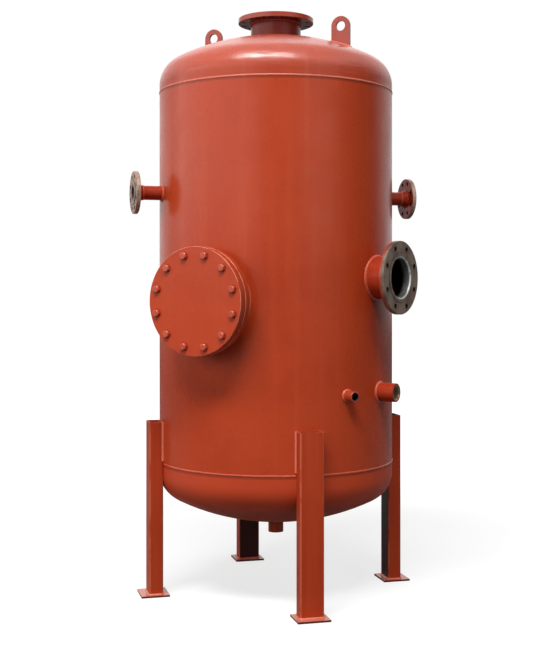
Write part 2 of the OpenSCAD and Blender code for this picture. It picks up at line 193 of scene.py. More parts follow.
class Graph:
    """Node tree, with short calls for the nodes that the finishes and the studio use."""

    def __init__(self, tree: NodeTree) -> None:
        """Takes the tree to work in."""
        self.tree = tree

    def feed(self, socket: NodeSocket, value: Value) -> None:
        """Links a socket or sets its value.

        Args:
            socket: Input to feed.
            value: Output to link, or the plain value.
        """
        if isinstance(value, NodeSocket):
            self.tree.links.new(value, socket)
        else:
            socket.default_value = value

    def add(self, kind: str, values: Sequence[Value] = (), rule: str | None = None) -> Node:
        """Adds a node and feeds its first inputs.

        Args:
            kind: Kind of node, without the words that all kinds begin with.
            values: What the inputs take, in their order.
            rule: Operation of the node, if it has one.

        Returns:
            The node.
        """
        node = self.tree.nodes.new(f"ShaderNode{kind}")
        if rule is not None:
            node.operation = rule
        for socket, value in zip(node.inputs, values):
            self.feed(socket, value)
        return node

    def sum(self, rule: str, first: Number, second: Number = 0.0) -> NodeSocket:
        """Result of an operation on one or two numbers."""
        return self.add("Math", (first, second), rule).outputs[0]

    def span(self, first: Number, second: Number) -> NodeSocket:
        """Length across two lengths that stand square to each other."""
        squares = [self.sum("MULTIPLY", length, length) for length in (first, second)]
        return self.sum("SQRT", self.sum("ADD", *squares))

    def along(self, direction: Value, vector: Value) -> NodeSocket:
        """Signed length of a vector along a direction."""
        return self.add("VectorMath", (vector, direction), "DOT_PRODUCT").outputs["Value"]

    def ramp(self, value: Number, low: float, high: float, top: float = 1.0, foot: float = 0.0) -> NodeSocket:
        """Soft step.

        Args:
            value: Value to test.
            low: Value at which the step starts.
            high: Value at which the step ends.
            top: Result beyond the step.
            foot: Result before the step.

        Returns:
            The result.
        """
        node = self.add("MapRange", (value, low, high, foot, top))
        node.interpolation_type = "SMOOTHSTEP"
        return node.outputs["Result"]

    def fall(self, value: Number, low: float, high: float, top: float = 1.0) -> NodeSocket:
        """Soft step down, from top before the step to zero beyond it."""
        return self.ramp(value, low, high, 0.0, top)

    def tint(self, share: NodeSocket, first: NodeSocket | Rgb, second: NodeSocket | Rgb) -> NodeSocket:
        """Colour between two colours.

        Args:
            share: Share of the second colour.
            first: Colour at zero.
            second: Colour at one.

        Returns:
            The mixed colour.
        """
        node = self.add("Mix", (share,))
        node.data_type = "RGBA"
        sockets = [socket for socket in node.inputs if socket.type == "RGBA"]
        for socket, colour in zip(sockets, (first, second)):
            self.feed(socket, colour if isinstance(colour, NodeSocket) else linear(colour))
        return next(socket for socket in node.outputs if socket.type == "RGBA")

    def level(self, share: NodeSocket, first: Number, second: Number) -> NodeSocket:
        """Number between two numbers.

        Args:
            share: Share of the second number.
            first: Number at zero.
            second: Number at one.

        Returns:
            The mixed number.
        """
        node = self.add("Mix", (share,))
        sockets = [socket for socket in node.inputs if socket.name in "AB" and socket.type == "VALUE"]
        for socket, number in zip(sockets, (first, second)):
            self.feed(socket, number)
        return node.outputs[0]


class Finish(Graph):
    """Material in the making.

    Attributes:
        material: The material.
        shader: Its shader.
        place: Place on the part.
        facing: Direction in which the surface faces.
    """

    def __init__(self, name: str) -> None:
        """Starts a material.

        Args:
            name: Name of the material.
        """
        self.material: Material = bpy.data.materials.new(name)
        self.material.use_nodes = True
        super().__init__(self.material.node_tree)
        self.shader = self.tree.nodes["Principled BSDF"]
        self.place: NodeSocket = self.add("TexCoord").outputs["Object"]
        self.facing: NodeSocket = self.add("NewGeometry").outputs["Normal"]

    def reach(self, direction: Point) -> NodeSocket:
        """How far the place lies along a direction."""
        return self.along(direction, self.place)

    def lean(self, direction: Point) -> NodeSocket:
        """How much the surface faces a direction, from -1 to 1."""
        return self.along(direction, self.facing)

    def across(self, axis: Axis) -> tuple[NodeSocket, NodeSocket]:
        """Distances of the place from a line, along its side and rise directions."""
        return self.reach(axis.side), self.sum("SUBTRACT", self.reach(axis.rise), axis.base())

    def radius(self, axis: Axis) -> NodeSocket:
        """Distance of the place from a line."""
        return self.span(*self.across(axis))

    def inward(self, centre: Point) -> NodeSocket:
        """How far the surface looks at a centre, above zero on the inside of a hollow part."""
        towards = self.add("VectorMath", (centre, self.place), "SUBTRACT").outputs[0]
        return self.along(self.facing, towards)

    def noise(self, cloud: Cloud) -> NodeSocket:
        """Cloudy noise over the place on the part.

        Args:
            cloud: The noise.

        Returns:
            Values about 0.5.
        """
        place = self.add("VectorMath", (self.place, cloud.stretch), "MULTIPLY").outputs[0]
        node = self.add("TexNoise", (place,))
        self.feed(node.inputs["Scale"], cloud.scale)
        self.feed(node.inputs["Detail"], cloud.detail)
        return node.outputs[0]

    def marks(self, cloud: Cloud) -> NodeSocket:
        """Share of the surface that clouds mark."""
        return self.ramp(self.noise(cloud), cloud.low, cloud.high, cloud.share)

    def vary(self, cloud: Cloud, middle: float, swing: float) -> NodeSocket:
        """Number that swings about its middle as the clouds go."""
        off = self.sum("MULTIPLY", self.sum("SUBTRACT", self.noise(cloud), 0.5), swing)
        return self.sum("ADD", off, middle)

    def relief(self, cloud: Cloud, depth: float) -> NodeSocket:
        """Height of the surface as the clouds go."""
        return self.sum("MULTIPLY", self.noise(cloud), depth)

    def settle(self, coat: Layer, specular: Number) -> Material:
        """Wires a coat to the shader.

        Args:
            coat: The coat.
            specular: Specular level.

        Returns:
            The finished material.
        """
        bump = self.add("Bump")
        for socket, value in (("Strength", 1.0), ("Distance", 1.0), ("Height", coat.height)):
            self.feed(bump.inputs[socket], value)
        for socket, value in (("Base Color", coat.colour), ("Roughness", coat.roughness),
                              ("Metallic", coat.metal), ("Normal", bump.outputs[0]),
                              ("Specular IOR Level", specular)):
            self.feed(self.shader.inputs[socket], value)
        return self.material


@dataclass(frozen=True)
class Layer:
    """What a coat hands to the shader.

    Attributes:
        colour: Its colour.
        roughness: Its roughness.
        height: Height of its surface.
        metal: How metallic it is.
    """

    colour: NodeSocket
    roughness: NodeSocket
    height: NodeSocket
    metal: Number = 0.0

    def tinted(self, finish: Finish, share: NodeSocket, colour: Rgb) -> Layer:
        """The coat with a share of another colour."""
        return replace(self, colour=finish.tint(share, self.colour, colour))

    def under(self, finish: Finish, over: Layer, mask: NodeSocket) -> Layer:
        """The coat with another in its place where a mask is one.

        Args:
            finish: Material in the making.
            over: The other coat.
            mask: Share of the other coat.

        Returns:
            Both coats as one.
        """
        same = self.metal == over.metal
        return Layer(finish.tint(mask, self.colour, over.colour),
                     finish.level(mask, self.roughness, over.roughness),
                     finish.level(mask, self.height, over.height),
                     self.metal if same else finish.level(mask, self.metal, over.metal))


Mark = tuple[Callable[[Finish], NodeSocket], Rgb]


@dataclass(frozen=True)
class Primer:
    """Red-oxide primer, sprayed in passes, with soft clouds, faint runs and specks.

    Attributes:
        tone: Main colour.
        deep: Colour of thick paint.
        pale: Colour of thin paint.
        speck_and_shade: Colour of specks, and of the painted shade under the seams and round the bolt heads.
        roughness: Middle of the roughness.
        specular: Specular level.
        buckle: Depth of the plate's waves.
        waves: The plate's waves.
        peel: Depth of the spray's grain.
        grain: The spray's grain.
        swing: How much the roughness varies.
        patches: Large patches of thick paint.
        runs: Upright runs of thin paint.
        drift: Small patches of thick paint.
        dots: Specks.
    """

    tone: Rgb = (183, 65, 31)
    deep: Rgb = (163, 52, 23)
    pale: Rgb = (194, 80, 47)
    speck_and_shade: Rgb = (104, 34, 18)
    roughness: float = 0.28
    specular: float = 0.21
    buckle: float = 0.00120
    waves: Cloud = Cloud(6.0, 2.0, stretch=(1.0, 1.0, 0.4))
    peel: float = 0.000022
    grain: Cloud = Cloud(330.0, 2.0)
    swing: float = 0.22
    patches: Cloud = Cloud(2.4, 4.0, 0.42, 0.72, 0.55)
    runs: Cloud = Cloud(1.0, 3.0, 0.5, 0.78, 0.30, (24.0, 24.0, 0.9))
    drift: Cloud = Cloud(9.0, 3.0, 0.55, 0.75, 0.22)
    dots: Cloud = Cloud(120.0, 1.0, 0.76, 0.80, 0.55)

    def layer(self, finish: Finish) -> Layer:
        """Lays the paint.

        Args:
            finish: Material in the making.

        Returns:
            The paint's layer.
        """
        colour: NodeSocket | Rgb = self.tone
        for cloud, shade in ((self.patches, self.deep), (self.runs, self.pale), (self.drift, self.deep),
                             (self.dots, self.speck_and_shade)):
            colour = finish.tint(finish.marks(cloud), colour, shade)
        peel, buckle = finish.relief(self.grain, self.peel), finish.relief(self.waves, self.buckle)
        roughness = finish.vary(self.drift, self.roughness, self.swing)
        return Layer(colour, roughness, finish.sum("ADD", peel, buckle))


# Paler weld paint: partly the welds' own paler paint, partly a painted highlight on the beads.
WELD_PRIMER_AND_HIGHLIGHT = Primer((206, 100, 74), (184, 76, 50), (218, 130, 106), roughness=0.36, specular=0.7, buckle=0.0)
# Darker paint of the vent's welds: painted shade, as they lie under the flange.
SHADED_TOP_WELD_PRIMER = Primer((120, 42, 28), (100, 34, 20), (140, 60, 42), specular=0.42, buckle=0.0)
SADDLE_PRIMER = Primer((194, 80, 52), (172, 60, 36), (206, 104, 78), specular=0.42, buckle=0.0)
LEG_PRIMER = Primer((172, 58, 25), (155, 47, 18), roughness=0.44, specular=0.19, buckle=0.0001)
FOOT_PRIMER = Primer((198, 112, 92), (176, 86, 66), (212, 144, 126), specular=0.5, buckle=0.0001)
BELLY_PRIMER = Primer((188, 66, 33), (170, 54, 24), roughness=0.5, specular=0.24)
HEAD_PRIMER = Primer((178, 68, 41), (158, 55, 32), (192, 87, 62), roughness=0.30, specular=0.74,
                     buckle=0.0036, waves=Cloud(6.0, 2.0, stretch=(0.8, 0.8, 4.0)))
TOP_PRIMER = Primer((154, 54, 32), (132, 42, 24), (172, 72, 48), specular=0.42, buckle=0.0001)
# A darker tone that stands for the shade on the necks, pipes and socket: painted shade.
SHADED_NECK_PRIMER = Primer((160, 50, 24), (138, 39, 17), (176, 66, 38), specular=0.14, buckle=0.0002)
STUB_PRIMER = Primer((170, 66, 40), (148, 52, 30), specular=0.42, buckle=0.0)
# Darker paint of the vent neck: painted shade, as the neck lies under the flange.
SHADED_COLLAR_PRIMER = Primer((128, 43, 30), (108, 34, 24), (146, 60, 46), specular=0.2, buckle=0.0001)
COVER_PRIMER = Primer((186, 67, 35), buckle=0.0004)
BOLT_PRIMER = Primer((184, 72, 44), (160, 54, 30), (206, 112, 86), roughness=0.26, specular=0.42, buckle=0.0)


@dataclass(frozen=True)
class Steel:
    """Bare machined steel with turned rings and a thin bloom of rust.

    Attributes:
        tone: Main colour.
        dull: Colour of stains.
        rust: Colour of the bloom.
        roughness: Middle of the roughness.
        metal: How metallic it is.
        ring_pitch: Distance between turned rings.
        ring_depth: Depth of the rings and the pits.
        swing: How much the roughness varies.
        stain_and_shadow: The stains.
        bloom: The bloom of rust.
        pits: The pits.
    """

    tone: Rgb = (128, 118, 108)
    dull: Rgb = (92, 78, 66)
    rust: Rgb = (112, 66, 40)
    roughness: float = 0.425
    metal: float = 0.85
    ring_pitch: float = 0.0016
    ring_depth: float = 0.000012
    swing: float = 0.25
    stain_and_shadow: Cloud = Cloud(22.0, 4.0, 0.40, 0.66, 0.85)
    bloom: Cloud = Cloud(70.0, 4.0, 0.56, 0.72, 0.65)
    pits: Cloud = Cloud(260.0, 2.0)

    def layer(self, finish: Finish, axis: Axis) -> Layer:
        """Lays the bare steel.

        Args:
            finish: Material in the making.
            axis: Line about which the rings were turned.

        Returns:
            The steel's layer.
        """
        colour = finish.tint(finish.marks(self.stain_and_shadow), self.tone, self.dull)
        colour = finish.tint(finish.marks(self.bloom), colour, self.rust)
        turns = finish.sum("MULTIPLY", finish.radius(axis), math.tau / self.ring_pitch)
        rings = finish.sum("MULTIPLY", finish.sum("SINE", turns), self.ring_depth)
        height = finish.sum("ADD", rings, finish.relief(self.pits, self.ring_depth))
        return Layer(colour, finish.vary(self.bloom, self.roughness, self.swing), height, self.metal)


@dataclass(frozen=True)
class DullCoat:
    """Dull surface of one colour with patches of another.

    Attributes:
        tone: Main colour.
        other: Colour of the patches.
        patches: The patches.
        grain: Grain of the surface.
        depth: Depth of the grain.
        roughness: Middle of the roughness.
        swing: How much the roughness varies.
    """

    tone: Rgb
    other: Rgb
    patches: Cloud
    grain: Cloud
    depth: float
    roughness: float
    swing: float

    def layer(self, finish: Finish) -> Layer:
        """Lays the coat.

        Args:
            finish: Material in the making.

        Returns:
            The coat's layer.
        """
        colour = finish.tint(finish.marks(self.patches), self.tone, self.other)
        roughness = finish.vary(self.patches, self.roughness, self.swing)
        return Layer(colour, roughness, finish.relief(self.grain, self.depth))


MILL_SCALE = DullCoat((58, 52, 48), (92, 54, 34), Cloud(7.0, 5.0, 0.45, 0.7), Cloud(90.0, 3.0),
                      depth=0.00015, roughness=0.7, swing=0.2)
FIBRE_SHEET = DullCoat((58, 54, 52), (92, 84, 78), Cloud(240.0, 3.0, 0.5, 0.75), Cloud(240.0, 3.0),
                       depth=0.00008, roughness=0.85, swing=0.1)


def painted(name: str, primer: Primer, *marks: Mark) -> Material:
    """Painted finish, in other colours where rules say so.

    Args:
        name: Name of the material.
        primer: The paint.
        marks: Rules for the share of another colour, each with that colour.

    Returns:
        The material.
    """
    finish = Finish(name)
    coat = primer.layer(finish)
    for rule, colour in marks:
        coat = coat.tinted(finish, rule(finish), colour)
    return finish.settle(coat, primer.specular)


@dataclass(frozen=True)
class JointCoat:
    """Finish of a connection: paint outside, bare steel in the bore and on the joint face.

    Attributes:
        axis: Centre line of the connection.
        bore: Radius inside which the steel is bare.
        face: Distance along the line beyond which the steel is bare, or None.
        primer: The paint.
        steel: The bare steel.
        mouth: Distance along the line behind which the bore is painted black as shade, or None.
        fade: Half the length over which the bore's painted shade begins.
        bore_ring_shade: Radius out to which the joint face is painted dark round the bore as shade, or None.
        step: Radius of a step on the joint face that has caught dirt, or None.
        holes: Inner and outer radius of the ring in which the bolt holes lie, or None.
        rim: Radius beyond which the bare face reaches back over the rim, or None.
        back: How far the bare steel reaches back over the rim.
        underside_shade: Strength of the painted shade on the faces that look back along the line.
        behind: How little a face looks along the line to take all the painted shade and to take none.
        ragged: How far the paint's edge wanders.
        tears: The wandering of the paint's edge.
        line: Half the width of the paint's edge on the joint face.
        hole_edge: How far round the holes' ring the grime ends.
        hole_lean: How little a wall looks along the line to be all hole and to be none.
        hole_grime: Share of dark soiling in the holes.
        bore_ring_shade_edge: Half the width of that painted shade's edge.
        bore_ring_shade_share: Strength of that painted shade.
        dirt_and_shade: Distances from the step at which its soiling begins to thin and is gone.
        dirt_and_shade_share: Share of soiling along the step.
    """

    axis: Axis
    bore: float
    face: float | None = None
    primer: Primer = Primer()
    steel: Steel = Steel()
    mouth: float | None = None
    fade: float = 0.012
    bore_ring_shade: float | None = None
    step: float | None = None
    holes: tuple[float, float] | None = None
    rim: float | None = None
    back: float = 0.0
    underside_shade: float = 0.0
    behind: tuple[float, float] = (-0.8, -0.5)
    ragged: float = 0.003
    tears: Cloud = Cloud(38.0, 3.0)
    line: float = 0.0006
    hole_edge: float = 0.001
    hole_lean: tuple[float, float] = (0.3, 0.5)
    hole_grime: float = 0.9
    bore_ring_shade_edge: float = 0.002
    bore_ring_shade_share: float = 0.8
    dirt_and_shade: tuple[float, float] = (0.0008, 0.0026)
    dirt_and_shade_share: float = 0.6

    def material(self, name: str) -> Material:
        """Builds the finish.

        Args:
            name: Name of the material.

        Returns:
            The material.
        """
        finish = Finish(name)
        mask = self.in_bore(finish)
        if self.face is not None:
            mask = finish.sum("MAXIMUM", mask, self.on_face(finish, self.face))
        paint, steel = self.primer.layer(finish), self.soiled(finish)
        if self.holes is not None:
            share = self.in_holes(finish, *self.holes)
            paint, steel = (coat.tinted(finish, share, GRIME_AND_SHADE) for coat in (paint, steel))
        # Painted shade on the faces that look back along the line, such as under the vent flange.
        if self.underside_shade:
            behind = finish.fall(finish.lean(self.axis.out), *self.behind, self.underside_shade)
            paint = paint.tinted(finish, behind, GRIME_AND_SHADE)
        return finish.settle(paint.under(finish, steel, mask), self.primer.specular)

    def in_bore(self, finish: Finish) -> NodeSocket:
        """Marks what lies inside the bore."""
        return finish.fall(finish.radius(self.axis), self.bore - EDGE, self.bore + EDGE)

    def on_face(self, finish: Finish, face: float) -> NodeSocket:
        """Marks the bare joint face and the bare part of its rim.

        Args:
            finish: Material in the making.
            face: Distance along the line beyond which the steel is bare.

        Returns:
            The share of bare steel.
        """
        edge = finish.vary(self.tears, 0.0, 2 * self.ragged)
        reach = finish.sum("ADD", finish.reach(self.axis.out), edge)
        if self.rim is not None:
            over = finish.ramp(finish.radius(self.axis), self.rim - EDGE, self.rim + EDGE, self.back)
            reach = finish.sum("ADD", reach, over)
        return finish.ramp(reach, face - self.line, face + self.line)

    def in_holes(self, finish: Finish, inner: float, outer: float) -> NodeSocket:
        """Marks the walls of the bolt holes, which face neither along the line nor back.

        Args:
            finish: Material in the making.
            inner: Inner radius of the ring in which they lie.
            outer: Outer radius of the ring in which they lie.

        Returns:
            The share of dark soiling.
        """
        lean = finish.sum("ABSOLUTE", finish.lean(self.axis.out))
        radius = finish.radius(self.axis)
        inside = finish.sum("MULTIPLY", finish.ramp(radius, inner - self.hole_edge, inner),
                            finish.fall(radius, outer, outer + self.hole_edge))
        return finish.sum("MULTIPLY", inside, finish.fall(lean, *self.hole_lean, self.hole_grime))

    def soiled(self, finish: Finish) -> Layer:
        """Bare steel with painted shade round the bore and deep in it, and black soiling along the step.

        Args:
            finish: Material in the making.

        Returns:
            The soiled steel's layer.
        """
        steel, radius = self.steel.layer(finish, self.axis), finish.radius(self.axis)
        # Painted shade: a dark ring on the joint face round the bore.
        if self.bore_ring_shade is not None:
            near = finish.fall(radius, self.bore_ring_shade - self.bore_ring_shade_edge, self.bore_ring_shade + self.bore_ring_shade_edge,
                               self.bore_ring_shade_share)
            steel = steel.tinted(finish, near, RING_SHADE)
        # Painted shade: the bore black behind its mouth.
        if self.mouth is not None:
            deep = finish.fall(finish.reach(self.axis.out), self.mouth - self.fade, self.mouth + self.fade)
            steel = steel.tinted(finish, finish.sum("MULTIPLY", self.in_bore(finish), deep), SOOT_AND_SHADE)
        if self.step is not None:
            off = finish.sum("ABSOLUTE", finish.sum("SUBTRACT", radius, self.step))
            steel = steel.tinted(finish, finish.fall(off, *self.dirt_and_shade, self.dirt_and_shade_share), SOOT_AND_SHADE)
        return steel


def dress(material: Material, *nodes: str) -> None:
    """Gives carried-over solids a finish.

    Args:
        material: The finish.
        nodes: Names of the solids.
    """
    for name in nodes:
        slots = frame["nodes"][name].data.materials
        slots.clear()
        slots.append(material)
        LOG.info("dressed %s with %s", name, material.name)


def place_mesh(name: str, bm: BMesh, material: Material) -> Object:
    """Turns built geometry into an object of the scene.

    Args:
        name: Name of the object.
        bm: Its geometry, which is freed.
        material: Its finish.

    Returns:
        The object.
    """
    mesh = bpy.data.meshes.new(name)
    bm.to_mesh(mesh)
    bm.free()
    mesh.materials.append(material)
    made = bpy.data.objects.new(name, mesh)
    bpy.context.scene.collection.objects.link(made)
    return made


def piece(name: str, bm: BMesh, material: Material, replaces: Sequence[str] = ()) -> Object:
    """Turns built geometry into a piece that rides on the tank.

    Args:
        name: Name of the piece.
        bm: Its geometry, which is freed.
        material: Its finish.
        replaces: Solids that the piece stands for.

    Returns:
        The piece.
    """
    bmesh.ops.recalc_face_normals(bm, faces=bm.faces)
    made = place_mesh(name, bm, material)
    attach(made, "root")
    if replaces:
        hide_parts(*replaces)
    LOG.info("built %s: %d faces", name, len(made.data.polygons))
    return made


def bridge(bm: BMesh, rings: Sequence[Sequence[BMVert]], smooth: int = 0, closed: bool = False) -> None:
    """Skins a row of rings of points.

    Args:
        bm: Geometry to add to.
        rings: The rings, each with as many points.
        smooth: How many strips, from the first, are shaded round.
        closed: Whether the last ring joins the first, or else both get an end.
    """
    size = len(rings[0])
    for here, there in zip(rings, [*rings[1:], rings[0]] if closed else rings[1:]):
        for strip in range(size):
            after = (strip + 1) % size
            face = bm.faces.new((here[strip], here[after], there[after], there[strip]))
            face.smooth = strip < smooth
    if not closed:
        bm.faces.new(rings[0])
        bm.faces.new(reversed(rings[-1]))


@dataclass(frozen=True)
class Station:
    """One section of a weld.

    Attributes:
        first: One toe.
        second: The other toe.
        root: The root.
    """

    first: Vector
    second: Vector
    root: Vector


@dataclass(frozen=True)
class Bead:
    """Rippled weld bead.

    Attributes:
        crown: Bulge over the line between the toes.
        pitch: Length of a ripple.
        ripple: Share of the bulge that is lost between ripples.
        sink: How far the toes and the root go into the plates.
        across: Strips across the bead.
        steps: Sections in a ripple.
        bow: How far a ripple's middle runs ahead, as a share of the pitch.
        full: Power of the arch across the bead, below one for a full bead.
        uneven: Share by which the bulge varies.
        waver: Swellings in a metre.
    """

    crown: float = 0.0014
    pitch: float = 0.0045
    ripple: float = 0.45
    sink: float = 0.0004
    across: int = 5
    steps: int = 4
    bow: float = 0.45
    full: float = 0.7
    uneven: float = 0.25
    waver: float = 60.0

    def lay(self, bm: BMesh, run: Callable[[float], Station], length: float, closed: bool = True) -> None:
        """Lays the bead along a run.

        Args:
            bm: Geometry to add to.
            run: Gives the section at a share of the run from 0 to 1.
            length: Length of the run in metres.
            closed: Whether the run ends where it starts.
        """
        count = self.steps * max(3, round(length / self.pitch))
        rings = []
        for step in range(count if closed else count + 1):
            station = run(step / count)
            lift = ((station.first + station.second) / 2 - station.root).normalized()
            swell = 1 + self.uneven * noise.noise(station.root * self.waver)
            ring = []
            for strip in range(self.across + 1):
                share = strip / self.across
                arch = 4 * share * (1 - share)
                wave = 0.5 - 0.5 * math.cos(math.tau * (step / self.steps - self.bow * arch))
                rise = self.crown * arch ** self.full * swell * (1 - self.ripple * wave)
                chord = station.first.lerp(station.second, share)
                ring.append(bm.verts.new(chord + lift * (rise - self.sink)))
            ring.append(bm.verts.new(station.root - lift * self.sink * 2))
            rings.append(ring)
        bridge(bm, rings, self.across, closed)


def round_run(axis: Axis, corners: Sequence[tuple[float, float]], share: float) -> Station:
    """Section of a plain round bead, from the radius and place along the line of its toes and root."""
    return Station(*(axis.about(radius, math.tau * share, out) for radius, out in corners))


@dataclass(frozen=True)
class Outline:
    """Rounded rectangle that a weld follows.

    Attributes:
        width: Width over all.
        depth: Depth over all.
        corner: Radius of the corners.
    """

    width: float
    depth: float
    corner: float

    def length(self) -> float:
        """Length once round."""
        return 2 * (self.width + self.depth) - 8 * self.corner + math.tau * self.corner

    def at(self, share: float) -> tuple[float, float, float, float]:
        """Point of the outline and the direction away from it.

        Args:
            share: Share of the way round, from 0 to 1.

        Returns:
            The point's two coordinates, then the two parts of the outward direction.
        """
        left = share * self.length()
        half_w, half_d = self.width / 2 - self.corner, self.depth / 2 - self.corner
        turns = ((half_w, half_d, 0.0, 2 * half_w), (-half_w, half_d, 90.0, 2 * half_d),
                 (-half_w, -half_d, 180.0, 2 * half_w), (half_w, -half_d, 270.0, 2 * half_d))
        arc = math.tau * self.corner / 4
        for x, y, start, run in turns:
            if left <= arc:
                turn = math.radians(start) + left / self.corner
                nx, ny = math.cos(turn), math.sin(turn)
                return x + self.corner * nx, y + self.corner * ny, nx, ny
            left -= arc
            turn = math.radians(start + 90)
            nx, ny = math.cos(turn), math.sin(turn)
            if left <= run:
                return x + self.corner * nx - ny * left, y + self.corner * ny + nx * left, nx, ny
            left -= run
        return self.at(0.0)


@dataclass
class Vessel:
    """Round wall, dished ends and the beads of the two round seams.

    Attributes:
        radius: Outside radius of the wall.
        low: Height of the lower seam.
        high: Height of the upper seam.
        crown: Crown radius of the dished ends.
        top: Height of the upper crown.
        bottom: Height of the lower crown.
        middle: Point that the inside looks at.
        inside: Half the width of the line between inside and outside.
        leg_width: Width of a leg, which breaks the lower seam.
        leg_azimuths: Where the legs stand.
        stave_edges: Azimuths at which the solid wall is split.
        staves: Solids of the wall.
        bead: Bead of the seams.
        half: Half the width of a seam.
        root: Depth of a seam's root under the wall's outside.
        wander: How far a seam strays from its height.
        strays: Strayings in a degree.
        stray_seed: Where the straying is taken from the noise.
        stain_and_shadow: How far under a seam its line of painted shadow begins and is full.
        seam_shadow_share: Strength of the painted shadow under a seam.
        matt: Heights between which the upper end goes from the wall's gloss to its own.
        primer: Paint of the wall.
    """

    radius: float = 0.508
    low: float = 0.560
    high: float = 2.153
    crown: float = 0.982
    top: float = 2.39903
    bottom: float = 0.29797
    middle: Point = (0.0, 0.0, 1.35)
    inside: float = 0.01
    leg_width: float = 0.100
    leg_azimuths: tuple[float, ...] = (45.0, 135.0, 225.0, 315.0)
    stave_edges: tuple[float, ...] = (-22.5, 22.5, 58.0, 112.5, 157.5, 202.5, 247.5, 292.5)
    staves: tuple[str, ...] = ("shell_front", "shell_front_right", "shell_right", "shell_back_right",
                               "shell_back", "shell_back_left", "shell_left", "shell_front_left")
    bead: Bead = Bead(crown=0.0026, pitch=0.006, ripple=0.35, across=6)
    half: float = 0.0046
    root: float = 0.001
    wander: float = 0.0006
    strays: float = 0.3
    stray_seed: float = 4.0
    stain_and_shadow: tuple[float, float] = (0.016, 0.010)
    seam_shadow_share: float = 0.5
    matt: tuple[float, float] = (2.18, 2.23)
    primer: Primer = Primer()

    def depth(self, side: float) -> float:
        """Distance of the wall's outside from the axis plane, at a distance sideways."""
        return math.sqrt(self.radius ** 2 - side ** 2)

    def crown_height(self, radius: float) -> float:
        """Height of the upper crown at a distance from the axis."""
        return self.top - self.crown + math.sqrt(self.crown ** 2 - radius ** 2)

    def belly_height(self, radius: float) -> float:
        """Height of the lower crown at a distance from the axis."""
        return self.bottom + self.crown - math.sqrt(self.crown ** 2 - radius ** 2)

    def on_edge(self, face: BMFace, slack: float = 2e-5) -> bool:
        """Tells whether a face lies in one of the planes where staves meet.

        Args:
            face: The face.
            slack: How far from the plane a point may lie.

        Returns:
            True if all its points lie in one plane.
        """
        for azimuth in self.stave_edges:
            axis = Axis.level(azimuth)
            side, out = Vector(axis.side), Vector(axis.out)
            if all(abs(v.co.dot(side)) < slack and v.co.dot(out) > 0 for v in face.verts):
                return True
        return False

    def build_wall(self, material: Material, touch: float = 2e-6, straight: float = 0.97) -> None:
        """Joins the staves into one wall with true round shading.

        Args:
            material: Finish of the wall.
            touch: Distance within which points are one.
            straight: How much a face looks at or away from the axis to count as round wall.
        """
        bm = bmesh.new()
        for name in self.staves:
            bm.from_mesh(frame["nodes"][name].data)
        bmesh.ops.remove_doubles(bm, verts=bm.verts, dist=touch)
        bmesh.ops.delete(bm, geom=[f for f in bm.faces if self.on_edge(f)], context="FACES")
        bmesh.ops.remove_doubles(bm, verts=bm.verts, dist=touch)
        mesh = piece("shell_wall", bm, material, self.staves).data
        normals: list[Vector] = []
        for polygon in mesh.polygons:
            polygon.use_smooth = True
            turn = polygon.normal.dot(Vector((*polygon.center.xy, 0.0)).normalized())
            for index in polygon.vertices:
                outward = Vector((*mesh.vertices[index].co.xy, 0.0)).normalized()
                normals.append(outward * math.copysign(1.0, turn) if abs(turn) > straight else polygon.normal)
        mesh.normals_split_custom_set(normals)

    def skin(self, name: str, primer: Primer, seam: float | None = None,
             matt: tuple[float, float] | None = None) -> Material:
        """Paint outside, mill scale on the surfaces that look at the middle of the tank.

        Args:
            name: Name of the material.
            primer: The paint.
            seam: Height of the seam above, under whose bead a line of painted shadow lies, or None.
            matt: Heights between which the paint goes from the wall's gloss to its own, or None.

        Returns:
            The material.
        """
        finish = Finish(name)
        paint, height = primer.layer(finish), finish.reach(UP)
        specular: Number = primer.specular
        # Painted shadow of the seam's bead: a dark line just under it.
        if seam is not None:
            dark = finish.ramp(height, *(seam - drop for drop in self.stain_and_shadow), self.seam_shadow_share)
            paint = paint.tinted(finish, dark, primer.speck_and_shade)
        if matt is not None:
            specular = finish.level(finish.ramp(height, *matt), self.primer.specular, primer.specular)
        inside = finish.ramp(finish.inward(self.middle), -self.inside, self.inside)
        return finish.settle(paint.under(finish, MILL_SCALE.layer(finish), inside), specular)

    def seam(self, height: float, start: float, sweep: float, share: float) -> Station:
        """Section of a round seam.

        Args:
            height: Height of the seam.
            start: Azimuth of its start.
            sweep: Degrees covered.
            share: Share of the way, from 0 to 1.

        Returns:
            The section.
        """
        stray = self.wander * noise.noise(Vector((share * sweep * self.strays, height, self.stray_seed)))
        axis = Axis.level(start + sweep * share, height + stray)
        return Station(axis.point(0, -self.half, self.radius), axis.point(0, self.half, self.radius),
                       axis.point(0, 0, self.radius - self.root))

    def build(self) -> None:
        """Builds the wall, dresses the ends and lays the seams, the lower one between the legs."""
        self.build_wall(self.skin("vessel_primer", self.primer, self.high))
        dress(self.skin("head_primer", HEAD_PRIMER, matt=self.matt), "top_head")
        dress(self.skin("belly_primer", BELLY_PRIMER, self.low), "bottom_head")
        bm = bmesh.new()
        self.bead.lay(bm, partial(self.seam, self.high, 0.0, 360.0), math.tau * self.radius)
        piece("top_seam_bead", bm, painted("seam_primer", WELD_PRIMER_AND_HIGHLIGHT), ("top_seam_weld",))
        bm = bmesh.new()
        gap = math.degrees(math.asin(self.leg_width / 2 / self.radius))
        sweep = 90.0 - 2 * gap
        for azimuth in self.leg_azimuths:
            run = partial(self.seam, self.low, azimuth + gap, sweep)
            self.bead.lay(bm, run, math.radians(sweep) * self.radius, False)
        weld = painted("low_seam_primer", SADDLE_PRIMER)
        piece("bottom_seam_bead", bm, weld, ("bottom_seam_weld",))


@dataclass(frozen=True)
class Neck:
    """Level pipe that stands on the wall.

    Attributes:
        axis: Its centre line.
        radius: Its outside radius.
        back: Distance along the line of the flange back that is welded to it, or None.
    """

    axis: Axis
    radius: float
    back: float | None = None


